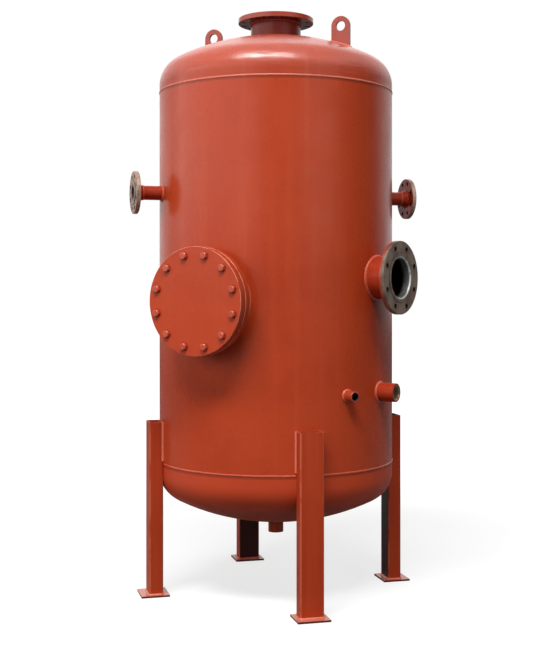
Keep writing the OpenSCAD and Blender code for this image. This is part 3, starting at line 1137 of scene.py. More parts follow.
@dataclass
class Necks:
    """Weld beads round every neck.

    Attributes:
        vessel: The vessel that carries them.
        leg: Leg length of the fillets.
        inner_leg: Leg length of the welds inside flanges.
        manway: Neck of the manway.
        outlet: Neck of the outlet.
        left: Pipe of the left nozzle.
        right: Pipe of the right nozzle.
        stub: Gauge stub.
        socket: Drain socket.
        vent: Outside radius of the vent neck.
        drain: Outside radius of the bottom drain.
        hub: Distance of the nozzles' hubs from the tank axis.
        hub_weld: Toes and root of a hub's weld, off the pipe's outside and the hub's end.
        hub_bead: Bead of a hub's weld.
    """

    vessel: Vessel
    leg: float = 0.008
    inner_leg: float = 0.006
    manway: Neck = Neck(Axis.level(0.0, 1.254), 0.162, 0.568)
    outlet: Neck = Neck(Axis.level(86.5, 1.349), 0.089, 0.596)
    left: Neck = Neck(Axis.level(-42.5, 1.711), 0.03015)
    right: Neck = Neck(Axis.level(137.5, 1.711), 0.03015)
    stub: Neck = Neck(Axis.level(65.0, 0.871), 0.0215)
    socket: Neck = Neck(Axis.level(89.0, 0.874), 0.039)
    vent: float = 0.1095
    drain: float = 0.033
    hub: float = 0.592
    hub_weld: tuple[tuple[float, float], ...] = ((0.0, -0.0045), (0.0008, 0.0035), (-0.001, 0.0))
    hub_bead: Bead = Bead(crown=0.0024, pitch=0.004)

    def saddle(self, neck: Neck, share: float) -> Station:
        """Section of a fillet between a level neck and the round wall.

        Args:
            neck: The neck.
            share: Share of the way round it.

        Returns:
            The section.
        """
        turn, wide = math.tau * share, neck.radius + self.leg
        foot = self.vessel.depth(neck.radius * math.cos(turn))
        return Station(neck.axis.about(neck.radius, turn, foot + self.leg),
                       neck.axis.about(wide, turn, self.vessel.depth(wide * math.cos(turn))),
                       neck.axis.about(neck.radius, turn, foot))

    def fillet(self, bm: BMesh, axis: Axis, radius: float, feet: Sequence[float], way: Side) -> None:
        """Lays a fillet between a round neck and what it stands on.

        Args:
            bm: Geometry to add to.
            axis: Centre line of the neck.
            radius: Outside radius of the neck.
            feet: Places along the line of what it stands on, at the neck and at the far toe.
            way: Which way along the line the fillet climbs the neck.
        """
        foot, far_foot = feet
        corners = ((radius, foot + way.value * self.leg), (radius + self.leg, far_foot), (radius, foot))
        Bead().lay(bm, partial(round_run, axis, corners), math.tau * (radius + self.leg / 2))

    def inner_bead(self, axis: Axis, radius: float, end: float) -> BMesh:
        """Lays the weld inside a flange, on the end of its neck.

        Args:
            axis: Centre line of the neck.
            radius: Outside radius of the neck.
            end: Place of the neck's end along the line.

        Returns:
            The bead.
        """
        bm = bmesh.new()
        corners = ((radius, end + self.inner_leg), (radius - self.inner_leg, end), (radius, end))
        Bead().lay(bm, partial(round_run, axis, corners), math.tau * radius)
        return bm

    def build(self) -> None:
        """Builds the beads of the necks: on the wall and the belly, then of the vent, then of the hubs."""
        weld, bm, upright = painted("neck_weld_primer", SADDLE_PRIMER), bmesh.new(), Axis.upright()
        necks = (self.manway, self.outlet, self.left, self.right, self.stub, self.socket)
        for neck in necks:
            Bead().lay(bm, partial(self.saddle, neck), math.tau * (neck.radius + self.leg / 2))
        for neck in necks:
            if neck.back is not None:
                self.fillet(bm, neck.axis, neck.radius, (neck.back, neck.back), Side.NEAR)
        belly = [self.vessel.belly_height(radius) for radius in (self.drain, self.drain + self.leg)]
        self.fillet(bm, upright, self.drain, belly, Side.NEAR)
        piece("neck_weld_beads", bm, weld, ("nozzle_welds",))
        bm, under = bmesh.new(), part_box("vent_flange")[0].z
        crown = [self.vessel.crown_height(radius) for radius in (self.vent, self.vent + self.leg)]
        self.fillet(bm, upright, self.vent, crown, Side.FAR)
        self.fillet(bm, upright, self.vent, (under, under), Side.NEAR)
        # The vent welds' darker paint is painted shade.
        top_weld = painted("vent_weld_primer", SHADED_TOP_WELD_PRIMER)
        piece("vent_weld_beads", bm, top_weld, ("vent_welds",))
        bm = bmesh.new()
        for pipe in (self.left, self.right):
            corners = [(pipe.radius + off, self.hub + on) for off, on in self.hub_weld]
            self.hub_bead.lay(bm, partial(round_run, pipe.axis, corners), math.tau * pipe.radius)
        piece("side_hub_beads", bm, weld)


@dataclass
class Vent:
    """Vent neck and flange on top of the tank.

    Attributes:
        bore: Radius of the neck's bore.
        face: Height of the flange's face.
        inset: How far the neck's end lies under the face.
        bare: How far under its end the neck is bare.
        skim: How far under the flange's face the steel is bare.
        ragged: How far the paint's edge wanders on the flange.
        holes: Inner and outer radius of the ring in which the bolt holes lie.
        underside_shade: Strength of the painted shade under the flange.
    """

    bore: float = 0.1015
    face: float = 2.48503
    inset: float = 0.008
    bare: float = 0.001
    skim: float = 0.0002
    ragged: float = 0.0004
    holes: tuple[float, float] = (0.132, 0.155)
    underside_shade: float = 0.75

    def build(self, necks: Necks) -> None:
        """Dresses the vent and lays the weld inside its flange.

        Args:
            necks: The necks and their welds.
        """
        axis, end = Axis.upright(), self.face - self.inset
        # The neck's darker paint is painted shade.
        neck = JointCoat(axis, self.bore + BARE_MARGIN, end - self.bare, SHADED_COLLAR_PRIMER)
        dress(neck.material("vent_neck_coat"), "vent_neck")
        flange = JointCoat(axis, necks.vent + BARE_MARGIN, self.face - self.skim, TOP_PRIMER,
                           holes=self.holes, underside_shade=self.underside_shade, ragged=self.ragged)
        dress(flange.material("vent_flange_coat"), "vent_flange")
        steel = JointCoat(axis, ALL_BARE).material("vent_bead_steel")
        piece("vent_inner_bead", necks.inner_bead(axis, necks.vent, end), steel)


@dataclass
class Outlet:
    """Outlet neck and flange with their bare joint face.

    Attributes:
        bore: Radius of the neck's bore.
        face: Distance of the flange's face from the tank axis.
        inset: How far the neck's end lies behind the face.
        bare: How far behind its end the neck is bare.
        band: How far behind the face the flange is bare.
        bore_shade: How far behind the neck's end the bore is painted black as shade.
        step: Radius of the step on the face.
        holes: Inner and outer radius of the ring in which the bolt holes lie.
        steel: Steel of the flange.
        bright: Steel of the neck's end and its weld.
    """

    bore: float = 0.0815
    face: float = 0.620
    inset: float = 0.0075
    bare: float = 0.001
    band: float = 0.014
    bore_shade: float = 0.022
    step: float = 0.103
    holes: tuple[float, float] = (0.114, 0.138)
    steel: Steel = Steel((124, 108, 95), (86, 64, 50), roughness=0.505, metal=0.24)
    bright: Steel = Steel((206, 208, 206), (160, 160, 158), (140, 110, 88), roughness=0.345)

    def build(self, necks: Necks) -> None:
        """Dresses the outlet and lays the weld inside its flange.

        Args:
            necks: The necks and their welds.
        """
        axis, radius, end = necks.outlet.axis, necks.outlet.radius, self.face - self.inset
        neck = JointCoat(axis, self.bore + BARE_MARGIN, end - self.bare, SHADED_NECK_PRIMER, self.bright,
                         mouth=end - self.bore_shade)
        dress(neck.material("outlet_neck_coat"), "outlet_neck")
        flange = JointCoat(axis, radius + BARE_MARGIN, self.face - self.band, TOP_PRIMER, self.steel,
                           step=self.step, holes=self.holes)
        dress(flange.material("outlet_flange_coat"), "outlet_flange")
        steel = JointCoat(axis, ALL_BARE, steel=self.bright).material("outlet_bead_steel")
        piece("outlet_inner_bead", necks.inner_bead(axis, radius, end), steel)


@dataclass
class SideNozzles:
    """The two small side connections with their hubbed flanges.

    Attributes:
        bore: Radius of a pipe's bore.
        face: Distance of a flange's face from the tank axis.
        band: How far behind the face a flange is bare.
        bore_shade: How far behind the face the bore is painted black as shade.
        fade: Half the length over which that painted shade begins.
        bore_ring_shade: Radius out to which the face is painted dark round the bore as shade.
        step: Radius of the step on the face.
        holes: Inner and outer radius of the ring in which the bolt holes lie.
        rim: Radius beyond which the bare face reaches back over the rim.
        back: How far it reaches back.
        ragged: How far the paint's edge wanders.
        steel: Steel of the flanges.
    """

    bore: float = 0.02615
    face: float = 0.634
    band: float = 0.003
    bore_shade: float = 0.0045
    fade: float = 0.004
    bore_ring_shade: float = 0.035
    step: float = 0.052
    holes: tuple[float, float] = (0.061, 0.080)
    rim: float = 0.0888
    back: float = 0.0165
    ragged: float = 0.001
    steel: Steel = Steel((170, 144, 130), (132, 104, 90), roughness=0.525, metal=0.5)

    def build(self, necks: Necks) -> None:
        """Dresses both connections.

        Args:
            necks: The necks and their welds.
        """
        for side, neck in (("left", necks.left), ("right", necks.right)):
            coat = JointCoat(neck.axis, self.bore + BARE_MARGIN, self.face - self.band, SHADED_NECK_PRIMER,
                             self.steel, mouth=self.face - self.bore_shade, fade=self.fade, bore_ring_shade=self.bore_ring_shade,
                             step=self.step, holes=self.holes, rim=self.rim, back=self.back,
                             ragged=self.ragged)
            dress(coat.material(f"{side}_nozzle_coat"), f"{side}_pipe", f"{side}_flange")


@dataclass
class SmallConnections:
    """Gauge stub, screwed drain socket and bottom drain.

    Attributes:
        stub_bore: Radius of the stub's bore.
        stub_mouth: Distance from the tank axis behind which the stub's bore is painted black as shade.
        socket_bore: Radius of the socket's bore.
        socket_face: Distance of the socket's end from the tank axis.
        drain_bore: Radius of the drain's bore.
        pitch: Pitch of the socket's thread.
        depth: Depth of the thread.
        length: Length of the thread.
        gap: How far behind the socket's end the thread begins.
        sink: How far the thread's ridge goes into the bore's wall.
        fill: Half the width of the ridge at its foot, as a share of the pitch.
        crest: Width of the ridge at its crest, as a share of its foot.
        run_out: Share of the depth that the thread keeps at the socket's end.
        steps: Sections in a turn of the thread.
        bright: Steel of the socket and its thread.
    """

    stub_bore: float = 0.0165
    stub_mouth: float = 0.55
    socket_bore: float = 0.031
    socket_face: float = 0.584
    drain_bore: float = 0.027
    pitch: float = 0.0031
    depth: float = 0.0015
    length: float = 0.046
    gap: float = 0.002
    sink: float = 0.0003
    fill: float = 0.46
    crest: float = 0.2
    run_out: float = 0.05
    steps: int = 64
    bright: Steel = Steel((190, 172, 150), (140, 118, 96), roughness=0.325)

    def thread(self, axis: Axis) -> BMesh:
        """Inside thread of the socket.

        Args:
            axis: Centre line of the socket.

        Returns:
            One ridge wound along the bore.
        """
        bm, rings, turns = bmesh.new(), [], int(self.length / self.pitch)
        start = self.socket_face - self.gap - turns * self.pitch
        foot, half = self.socket_bore + self.sink, self.pitch * self.fill
        for step in range(turns * self.steps + 1):
            turned = step / self.steps
            out = start + self.pitch * turned
            top = foot - self.sink - self.depth * min(1.0, turned, turns - turned + self.run_out)
            ridge = ((foot, -half), (top, -half * self.crest), (top, half * self.crest), (foot, half))
            rings.append([bm.verts.new(axis.about(radius, math.tau * turned, out + lift))
                          for radius, lift in ridge])
        bridge(bm, rings)
        return bm

    def build(self, necks: Necks) -> None:
        """Dresses the small connections and cuts the socket's thread.

        Args:
            necks: The necks and their welds.
        """
        stub = JointCoat(necks.stub.axis, self.stub_bore + BARE_MARGIN, primer=STUB_PRIMER,
                         mouth=self.stub_mouth)
        dress(stub.material("stub_coat"), "gauge_stub")
        axis = necks.socket.axis
        socket = JointCoat(axis, self.socket_bore + BARE_MARGIN, primer=SHADED_NECK_PRIMER, steel=self.bright)
        dress(socket.material("socket_coat"), "drain_socket")
        drain = JointCoat(Axis.upright(), self.drain_bore + BARE_MARGIN)
        dress(drain.material("drain_coat"), "bottom_drain")
        steel = JointCoat(axis, ALL_BARE, steel=self.bright).material("thread_steel")
        piece("socket_thread", self.thread(axis), steel)


@dataclass
class Manway:
    """Manway flange, gasket and cover with their bolts.

    Attributes:
        axis: Centre line of the manway.
        bore: Radius of the neck's bore.
        circle: Radius of the bolt circle.
        face: Distance of the cover's face from the tank axis.
        joint: Distance of the flange's joint face from the tank axis.
        back: Distance of the flange's back from the tank axis.
        rim: Radius of the cover and the flange.
        count: Number of bolts.
        flats: Width over the flats of heads and nuts.
        head: Height of a bolt head.
        nut: Height of a nut.
        hex_steps: Points round a head or nut.
        hex_top: Radius of its round top, as a share of the flats.
        hex_seat: Size of its seat, as a share of its own.
        hex_cone: Degrees by which its corners are cut.
        hex_levels: Heights of the seat and of the edge above it.
        shank: Radius of a bolt.
        tail: Length of thread past the nut.
        tail_steps: Points round a bolt.
        pitch: Pitch of a bolt's thread.
        groove: Depth of the thread.
        turn: Places of the groove and the crest in a turn.
        chamfer: How much thinner a bolt is at its end.
        seat: How far a bolt's shank begins behind the cover's face.
        rim_wear: Depth of the band of worn paint and painted highlight on the faces beside a rim.
        band: Distances from a rim's edge along the line at which its worn paint and painted highlight thin
            and are gone.
        worn: Patches of the worn, highlighted rims.
        rubbed_and_highlight: Pale colour of the rims: worn paint and painted highlight.
        dirt_and_shade: Width of the painted shade round a bolt head.
        dirt_and_shade_share: Strength of the painted shade round a bolt head.
        sheet_specular: Specular level of the gasket.
        seed: Start of the chance by which heads and nuts are turned.
    """

    axis: Axis
    bore: float = 0.152
    circle: float = 0.185
    face: float = 0.636
    joint: float = 0.600
    back: float = 0.568
    rim: float = 0.2165
    count: int = 12
    flats: float = 0.027
    head: float = 0.0135
    nut: float = 0.0145
    hex_steps: int = 60
    hex_top: float = 0.41
    hex_seat: float = 0.985
    hex_cone: float = 40.0
    hex_levels: tuple[float, float] = (-0.0002, 0.0005)
    shank: float = 0.009
    tail: float = 0.007
    tail_steps: int = 28
    pitch: float = 0.0025
    groove: float = 0.0012
    turn: tuple[float, float] = (0.0006, 0.0018)
    chamfer: float = 0.0016
    seat: float = 0.001
    rim_wear: float = 0.0012
    band: tuple[float, float] = (0.0018, 0.003)
    worn: Cloud = Cloud(30.0, 4.0, 0.30, 0.55, 0.9)
    rubbed_and_highlight: Rgb = (228, 156, 134)
    dirt_and_shade: float = 0.009
    dirt_and_shade_share: float = 0.6
    sheet_specular: float = 0.2
    seed: int = 7

    def worn_and_lit_rims(self, finish: Finish) -> NodeSocket:
        """Marks the rims of the cover and the flange, where the paint is worn and a highlight is painted.

        Args:
            finish: Material in the making.

        Returns:
            The share of worn paint and painted highlight.
        """
        place, band = finish.reach(self.axis.out), 0.0
        for edge in (self.face, self.joint):
            off = finish.sum("ABSOLUTE", finish.sum("SUBTRACT", place, edge))
            band = finish.sum("MAXIMUM", finish.fall(off, *self.band), band)
        start = self.rim - self.rim_wear
        outer = finish.ramp(finish.radius(self.axis), start - EDGE, start + EDGE)
        return finish.sum("MULTIPLY", finish.sum("MULTIPLY", band, outer), finish.marks(self.worn))

    def shade_round_bolts(self, finish: Finish) -> NodeSocket:
        """Marks a ring of painted shade round the bolt heads.

        Args:
            finish: Material in the making.

        Returns:
            The share of painted shade.
        """
        side, rise = finish.across(self.axis)
        radius, step = finish.span(side, rise), math.tau / self.count
        turn = finish.sum("SUBTRACT", finish.sum("DIVIDE", finish.sum("ARCTAN2", rise, side), step), 0.5)
        off = finish.sum("SUBTRACT", turn, finish.sum("ROUND", turn))
        across = finish.sum("MULTIPLY", finish.sum("MULTIPLY", off, step), radius)
        away = finish.span(across, finish.sum("SUBTRACT", radius, self.circle))
        return finish.fall(away, self.flats / 2, self.flats / 2 + self.dirt_and_shade, self.dirt_and_shade_share)

    def hexagon(self, bm: BMesh, centre: tuple[float, float], base: float, height: float, spin: float,
                way: Side) -> None:
        """Adds a head or nut with its corners cut to a cone.

        Args:
            bm: Geometry to add to.
            centre: Place of the bolt across the line.
            base: Where the seat is along the line.
            height: Height over the seat.
            spin: Turn of the corners in radians.
            way: Which way along the line it stands.
        """
        crown, sixth = self.flats * self.hex_top, math.tau / 6
        rings: list[list[BMVert]] = [[], [], [], []]
        for step in range(self.hex_steps):
            turn = math.tau * step / self.hex_steps
            flat = self.flats / 2 / math.cos((turn + sixth / 2) % sixth - sixth / 2)
            edge = height - max(0.0, flat - crown) * math.tan(math.radians(self.hex_cone))
            radii = (flat * self.hex_seat, flat, flat, crown)
            for ring, radius, rise in zip(rings, radii, (*self.hex_levels, edge, height)):
                corner = self.axis.about(radius, turn + spin, base + way.value * rise, *centre)
                ring.append(bm.verts.new(corner))
        bridge(bm, rings)

    def shank_and_tail(self, bm: BMesh, centre: tuple[float, float]) -> None:
        """Adds a bolt's shank with the thread that shows past the nut.

        Args:
            bm: Geometry to add to.
            centre: Place of the bolt across the line.
        """
        start = self.back - self.nut
        groove, crest = self.turn
        profile = [(self.shank, self.face - self.seat), (self.shank, start)]
        for index in range(int(self.tail / self.pitch)):
            place = start - index * self.pitch
            profile += [(self.shank - self.groove, place - groove), (self.shank, place - crest)]
        profile.append((self.shank - self.chamfer, start - self.tail))
        turns = [math.tau * step / self.tail_steps for step in range(self.tail_steps)]
        rings = [[bm.verts.new(self.axis.about(radius, turn, out, *centre)) for turn in turns]
                 for radius, out in profile]
        bridge(bm, rings, self.tail_steps)

    def build(self) -> None:
        """Dresses the manway and sets its bolts, each head and nut turned by chance."""
        dress(JointCoat(self.axis, self.bore + BARE_MARGIN).material("manway_neck_coat"), "manway_neck")
        # Rims: worn paint and painted highlight. Rings round the bolt heads: painted shade.
        plates = painted("manway_primer", COVER_PRIMER, (self.worn_and_lit_rims, self.rubbed_and_highlight),
                         (self.shade_round_bolts, COVER_PRIMER.speck_and_shade))
        dress(plates, "manway_flange", "manway_cover")
        sheet = Finish("gasket_sheet")
        dress(sheet.settle(FIBRE_SHEET.layer(sheet), self.sheet_specular), "manway_gasket")
        heads, nuts, chance = bmesh.new(), bmesh.new(), random.Random(self.seed)
        for index in range(self.count):
            angle = math.tau * (index + 0.5) / self.count
            centre = (self.circle * math.cos(angle), self.circle * math.sin(angle))
            self.hexagon(heads, centre, self.face, self.head, chance.random() * math.tau, Side.FAR)
            self.hexagon(nuts, centre, self.back, self.nut, chance.random() * math.tau, Side.NEAR)
            self.shank_and_tail(nuts, centre)
        paint = painted("bolt_primer", BOLT_PRIMER)
        piece("manway_bolt_heads", heads, paint)
        piece("manway_nuts", nuts, paint)


@dataclass
class Lugs:
    """Lifting lugs and the welds round their feet.

    Attributes:
        vessel: The vessel that carries them.
        place: Distance of a lug's middle from the tank axis.
        width: Width of a lug.
        thickness: Its thickness.
        corner: Radius of the weld's root at its corners.
        leg: Leg length of the weld.
        azimuths: Where the lugs stand.
    """

    vessel: Vessel
    place: float = 0.308
    width: float = 0.084
    thickness: float = 0.012
    corner: float = 0.0012
    leg: float = 0.0085
    azimuths: tuple[float, float] = (95.0, 275.0)

    def foot(self, axis: Axis, share: float) -> Station:
        """Section of the weld round a lug's foot on the crown.

        Args:
            axis: Line under the lug, away from the tank axis.
            share: Share of the way round the foot.

        Returns:
            The section.
        """
        side, out, to_side, to_out = Outline(self.thickness, self.width, self.corner).at(share)
        out += self.place
        wide_side, wide_out = side + to_side * self.leg, out + to_out * self.leg
        foot = self.vessel.crown_height(math.hypot(side, out))
        wide_foot = self.vessel.crown_height(math.hypot(wide_side, wide_out))
        return Station(axis.point(side, foot + self.leg, out), axis.point(wide_side, wide_foot, wide_out),
                       axis.point(side, foot, out))

    def build(self) -> None:
        """Dresses the lugs and lays their welds."""
        dress(painted("lug_primer", TOP_PRIMER), "lug_right", "lug_left")
        bm = bmesh.new()
        for azimuth in self.azimuths:
            Bead().lay(bm, partial(self.foot, Axis.level(azimuth)), 2 * (self.width + self.thickness))
        piece("lug_weld_beads", bm, painted("lug_weld_primer", WELD_PRIMER_AND_HIGHLIGHT), ("lug_welds",))


@dataclass
class Legs:
    """Four hollow legs on foot plates, with the welds at their sides and bases.

    Attributes:
        vessel: The vessel that they carry.
        depth: Depth of a leg.
        corner: Radius of its corners.
        top: Height of its top.
        plate: Thickness of a foot plate.
        weld: Leg length of the welds.
        start: How far above the lower seam a side weld begins.
        end: How far under the top it ends.
        toe: How far past the corner its toe on the leg lies.
        root: How far its root lies in from the leg's side and out from the wall.
        places: Ends of the solids' names.
        eye: Point that the inner faces, which take painted shade, look at.
        inner: How straight a face looks at it to begin to take painted shade and to take it all.
        rounded: How far a face leans from both walls to begin to be an edge and to be all so.
        cut: How far a face looks up to begin to be a cut top and to be all so.
        upper: How far a foot plate's face looks up to begin to be free of painted shade and to be all so.
        worn: Patches of the worn, highlighted edges.
        rubbed_and_highlight: Pale colour of the edges and cut tops: worn paint and painted highlight.
        inner_face_shade: Colour of the painted shade on the inner faces, which lie in the tank's shadow.
        foot_side_shade: Colour of the foot plates but for their upper faces: painted shade.
    """

    vessel: Vessel
    depth: float = 0.060
    corner: float = 0.008
    top: float = 0.738
    plate: float = 0.008
    weld: float = 0.006
    start: float = 0.012
    end: float = 0.0005
    toe: float = 0.001
    root: tuple[float, float] = (0.003, 0.0015)
    places: tuple[str, ...] = ("front_right", "back_right", "back_left", "front_left")
    eye: Point = (0.0, 0.0, 0.35)
    inner: tuple[float, float] = (0.75, 0.95)
    rounded: tuple[float, float] = (0.15, 0.35)
    cut: tuple[float, float] = (0.4, 0.7)
    upper: tuple[float, float] = (0.3, 0.6)
    worn: Cloud = Cloud(12.0, 4.0, 0.30, 0.55, 0.28)
    rubbed_and_highlight: Rgb = (216, 136, 112)
    inner_face_shade: Rgb = (54, 16, 10)
    foot_side_shade: Rgb = (84, 30, 20)

    def middle(self) -> float:
        """Distance of a leg's centre from the tank axis."""
        return self.vessel.depth(self.vessel.leg_width / 2) + self.depth / 2

    def outline(self) -> Outline:
        """Outline of a leg."""
        return Outline(self.vessel.leg_width, self.depth, self.corner)

    def side_run(self, axis: Axis, side: Side, share: float) -> Station:
        """Section of the weld along one edge of a leg.

        Args:
            axis: Line under the leg, away from the tank axis.
            side: Which edge.
            share: Share of the way up.

        Returns:
            The section.
        """
        half = self.vessel.leg_width / 2
        wide, back = half + self.weld, self.vessel.depth(half)
        low, high = self.vessel.low + self.start, self.top - self.end
        height = low + (high - low) * share
        root_in, root_out = self.root
        return Station(axis.point(side.value * half, height, back + self.corner + self.toe),
                       axis.point(side.value * wide, height, self.vessel.depth(wide)),
                       axis.point(side.value * (half - root_in), height, back + root_out))

    def base_run(self, axis: Axis, share: float) -> Station:
        """Section of the weld between a leg and its foot plate.

        Args:
            axis: Line on the foot plate, away from the tank axis.
            share: Share of the way round the leg.

        Returns:
            The section.
        """
        side, out, to_side, to_out = self.outline().at(share)
        out += self.middle()
        return Station(axis.point(side, self.weld, out),
                       axis.point(side + to_side * self.weld, 0.0, out + to_out * self.weld),
                       axis.point(side, 0.0, out))

    def inner_faces(self, finish: Finish) -> NodeSocket:
        """Marks the faces of the legs that look at the tank axis, which take painted shade."""
        return finish.ramp(finish.sum("DIVIDE", finish.inward(self.eye), self.middle()), *self.inner)

    def edges(self, finish: Finish) -> NodeSocket:
        """Marks the rounded edges and the cut tops of the legs, for worn paint and painted highlight; the cut
        tops look up.

        Args:
            finish: Material in the making.

        Returns:
            The share of worn paint and painted highlight.
        """
        half = math.sqrt(0.5)
        across, along = (finish.sum("ABSOLUTE", finish.lean((half, part, 0.0))) for part in (-half, half))
        corner = finish.ramp(finish.sum("MINIMUM", across, along), *self.rounded)
        top = finish.ramp(finish.lean(UP), *self.cut)
        return finish.sum("MULTIPLY", finish.sum("MAXIMUM", corner, top), finish.marks(self.worn))

    def lower_faces(self, finish: Finish) -> NodeSocket:
        """Marks all but the upper faces of the foot plates, for painted shade."""
        return finish.fall(finish.lean(UP), *self.upper)

    def build(self) -> None:
        """Dresses the legs and feet and lays their welds."""
        # Legs: worn paint and painted highlight on edges and cut tops, painted shade on inner faces.
        legs = painted("leg_primer", LEG_PRIMER, (self.edges, self.rubbed_and_highlight), (self.inner_faces, self.inner_face_shade))
        # Foot plates: painted shade on all but their upper faces.
        feet = painted("foot_primer", FOOT_PRIMER, (self.lower_faces, self.foot_side_shade))
        dress(legs, *(f"leg_{place}" for place in self.places))
        dress(feet, *(f"foot_{place}" for place in self.places))
        sides, bases = bmesh.new(), bmesh.new()
        height = self.top - self.vessel.low - self.start
        for azimuth in self.vessel.leg_azimuths:
            for side in Side:
                Bead().lay(sides, partial(self.side_run, Axis.level(azimuth), side), height, False)
            base = partial(self.base_run, Axis.level(azimuth, self.plate))
            Bead().lay(bases, base, self.outline().length())
        weld = painted("leg_weld_primer", WELD_PRIMER_AND_HIGHLIGHT)
        piece("leg_weld_beads", sides, weld, ("leg_welds",))
        piece("foot_weld_beads", bases, weld, ("foot_welds",))


@dataclass(frozen=True)
class SoftLight:
    """Large soft lamp that looks at the tank.

    Attributes:
        name: Name of the lamp.
        azimuth: Degrees from the front towards the right.
        distance: Metres from the tank axis.
        height: Metres above the floor.
        size: Width and height of the lamp.
        power: Watts.
        aim: Height on the tank axis that it looks at.
    """

    name: str
    azimuth: float
    distance: float
    height: float
    size: tuple[float, float]
    power: float
    aim: float = 1.2

    def build(self) -> None:
        """Sets up the lamp and turns it to the tank."""
        data = bpy.data.lights.new(self.name, "AREA")
        data.shape = "RECTANGLE"
        data.size, data.size_y = self.size
        data.energy = self.power
        lamp = bpy.data.objects.new(self.name, data)
        lamp.location = Axis.level(self.azimuth, self.height).point(0.0, 0.0, self.distance)
        look = Vector((0.0, 0.0, self.aim)) - lamp.location
        lamp.rotation_euler = look.to_track_quat("-Z", "Y").to_euler()
        bpy.context.scene.collection.objects.link(lamp)
        LOG.info("lamp %s", self.name)


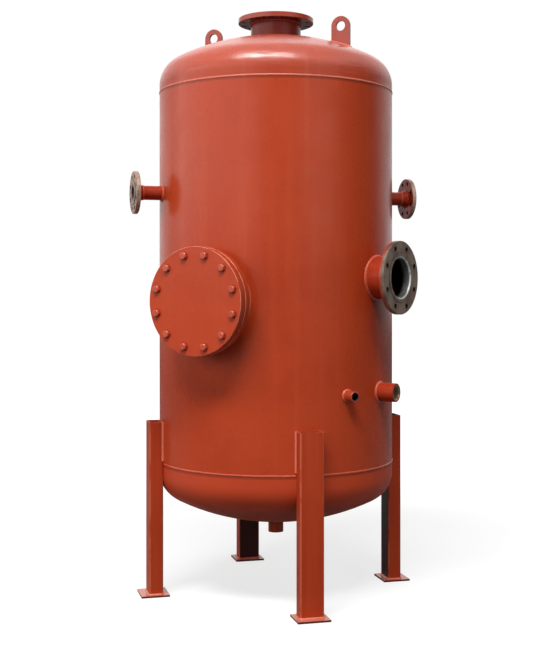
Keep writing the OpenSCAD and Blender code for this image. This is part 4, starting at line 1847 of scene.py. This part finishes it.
@dataclass
class Studio:
    """Pale floor, white surroundings and soft lamps.

    Attributes:
        ambient: Strength of the surroundings as light.
        screen: Direction of a dark screen that the wall mirrors, in degrees.
        screen_edge: Cosines off that direction between which the screen begins.
        screen_dark: Share of the surroundings' strength that the screen leaves.
        reach: Half width of the floor.
        cells: Faces along a side of the floor.
        floor_grey: Grey of the floor as it is seen.
        floor_bounce: Grey of the floor as the tank is lit by it.
        near_far: Distances from the tank between which the floor grows brighter.
        glow: Glow of the floor beyond them and under the tank.
        lamps: The lamps.
    """

    ambient: float = 0.20
    screen: float = 120.0
    screen_edge: tuple[float, float] = (0.80, 0.95)
    screen_dark: float = 0.15
    reach: float = 60.0
    cells: int = 8
    floor_grey: float = 0.36
    floor_bounce: float = 0.10
    near_far: tuple[float, float] = (1.2, 4.5)
    glow: tuple[float, float] = (1.0, 0.7)
    lamps: tuple[SoftLight, ...] = (
        SoftLight("key_left", 2.0, 7.5, 11.7, (4.2, 2.6), 850.0),
        SoftLight("key_right", 34.0, 7.5, 11.7, (4.0, 2.6), 800.0),
        SoftLight("side_left", -32.0, 6.5, 3.2, (14.0, 3.0), 255.0, 2.4),
        SoftLight("side_right", 92.0, 7.0, 6.6, (7.0, 5.5), 50.0),
        SoftLight("low_right", 70.0, 6.5, 2.6, (4.0, 1.7), 24.0, 2.4),
        SoftLight("side_back", 215.0, 7.0, 6.6, (8.0, 6.0), 70.0),
    )

    def seen(self, graph: Graph, mirrored: bool = True) -> NodeSocket:
        """One for the rays by which the background is seen.

        Args:
            graph: Graph to add to.
            mirrored: Whether the rays that mirror it count too.

        Returns:
            The share of such rays.
        """
        rays = graph.add("LightPath").outputs
        share = rays["Is Camera Ray"]
        for name in ("Is Glossy Ray", "Is Transmission Ray") if mirrored else ():
            share = graph.sum("MAXIMUM", share, rays[name])
        return share

    def shade(self, graph: Graph) -> NodeSocket:
        """One, less in the direction in which a dark screen stands, but never as the background.

        Args:
            graph: Graph to add to.

        Returns:
            The share of the surroundings' strength.
        """
        aim = graph.along(Axis.level(self.screen).out, graph.add("TexCoord").outputs["Generated"])
        dark = graph.ramp(aim, *self.screen_edge, self.screen_dark, 1.0)
        return graph.sum("MAXIMUM", dark, self.seen(graph, False))

    def build_world(self) -> None:
        """Sets up white surroundings, dimmer as a light than as a background."""
        world = bpy.data.worlds.new("studio")
        world.use_nodes = True
        bpy.context.scene.world = world
        graph = Graph(world.node_tree)
        back = graph.tree.nodes["Background"]
        strength = graph.level(self.seen(graph), self.ambient, 1.0)
        graph.feed(back.inputs["Color"], WHITE)
        graph.feed(back.inputs["Strength"], graph.sum("MULTIPLY", strength, self.shade(graph)))

    def floor_finish(self) -> Material:
        """Finish of the floor, pale as it is seen and dimmer as the tank is lit by it.

        Returns:
            The material.
        """
        material = bpy.data.materials.new("studio_floor")
        material.use_nodes = True
        graph = Graph(material.node_tree)
        graph.tree.nodes.remove(graph.tree.nodes["Principled BSDF"])
        away = graph.add("VectorMath", (graph.add("TexCoord").outputs["Object"],), "LENGTH").outputs["Value"]
        glow = graph.sum("MULTIPLY", graph.ramp(away, *self.near_far, *self.glow), self.seen(graph, False))
        pale, dim = (graph.add("BsdfDiffuse", (grey(level),)).outputs[0]
                     for level in (self.floor_grey, self.floor_bounce))
        bright = graph.add("AddShader", (pale, graph.add("Emission", (WHITE, glow)).outputs[0])).outputs[0]
        pick = graph.add("MixShader", (self.seen(graph), dim, bright)).outputs[0]
        graph.feed(graph.tree.nodes["Material Output"].inputs["Surface"], pick)
        return material

    def build_floor(self) -> None:
        """Sets up the pale floor, which keeps the tank's shadow."""
        bm = bmesh.new()
        bmesh.ops.create_grid(bm, x_segments=self.cells, y_segments=self.cells, size=self.reach)
        floor = place_mesh("studio_floor", bm, self.floor_finish())

    def build(self) -> None:
        """Sets up surroundings, floor and lamps, and shows colours as they are."""
        self.build_world()
        self.build_floor()
        for lamp in self.lamps:
            lamp.build()
        bpy.context.scene.view_settings.view_transform = "Standard"


@dataclass
class Viewpoint:
    """Level camera at the viewing angle of the picture.

    Attributes:
        azimuth: Degrees from the front towards the right.
        distance: Metres from the tank axis.
        eye: Height of the lens.
        focal: Focal length in picture points.
        axis_x: Where the tank axis falls across the picture.
        horizon: Where the horizon falls down the picture.
        width: Width of the picture.
        height: Height of the picture.
        sensor: Width of the sensor in millimetres.
        far: Distance to which the camera sees.
    """

    azimuth: float = 30.3
    distance: float = 5.1596
    eye: float = 1.3055
    focal: float = 1175.1
    axis_x: float = 275.83
    horizon: float = 288.33
    width: float = 539.0
    height: float = 648.0
    sensor: float = 36.0
    far: float = 200.0

    def build(self) -> None:
        """Sets up the camera and gives it to the scene."""
        data = bpy.data.cameras.new("viewpoint")
        data.sensor_width = self.sensor
        data.lens = self.focal * self.sensor / self.height
        data.shift_x = -(self.axis_x - self.width / 2) / self.height
        data.shift_y = -(self.height / 2 - self.horizon) / self.height
        data.clip_end = self.far
        camera = bpy.data.objects.new("viewpoint", data)
        camera.location = Axis.level(self.azimuth, self.eye).point(0.0, 0.0, self.distance)
        camera.rotation_euler = (math.radians(90), 0.0, math.radians(self.azimuth))
        bpy.context.scene.collection.objects.link(camera)
        bpy.context.scene.camera = camera


def main() -> None:
    """Sets up the camera, builds the tank's pieces in order, then the studio."""
    logging.basicConfig(level=logging.INFO, format="%(name)s: %(message)s")
    Viewpoint().build()
    vessel = Vessel()
    vessel.build()
    necks = Necks(vessel)
    necks.build()
    for connections in (Vent(), Outlet(), SideNozzles(), SmallConnections()):
        connections.build(necks)
    Manway(necks.manway.axis).build()
    Lugs(vessel).build()
    Legs(vessel).build()
    Studio().build()


if __name__ == "__main__":
    main()
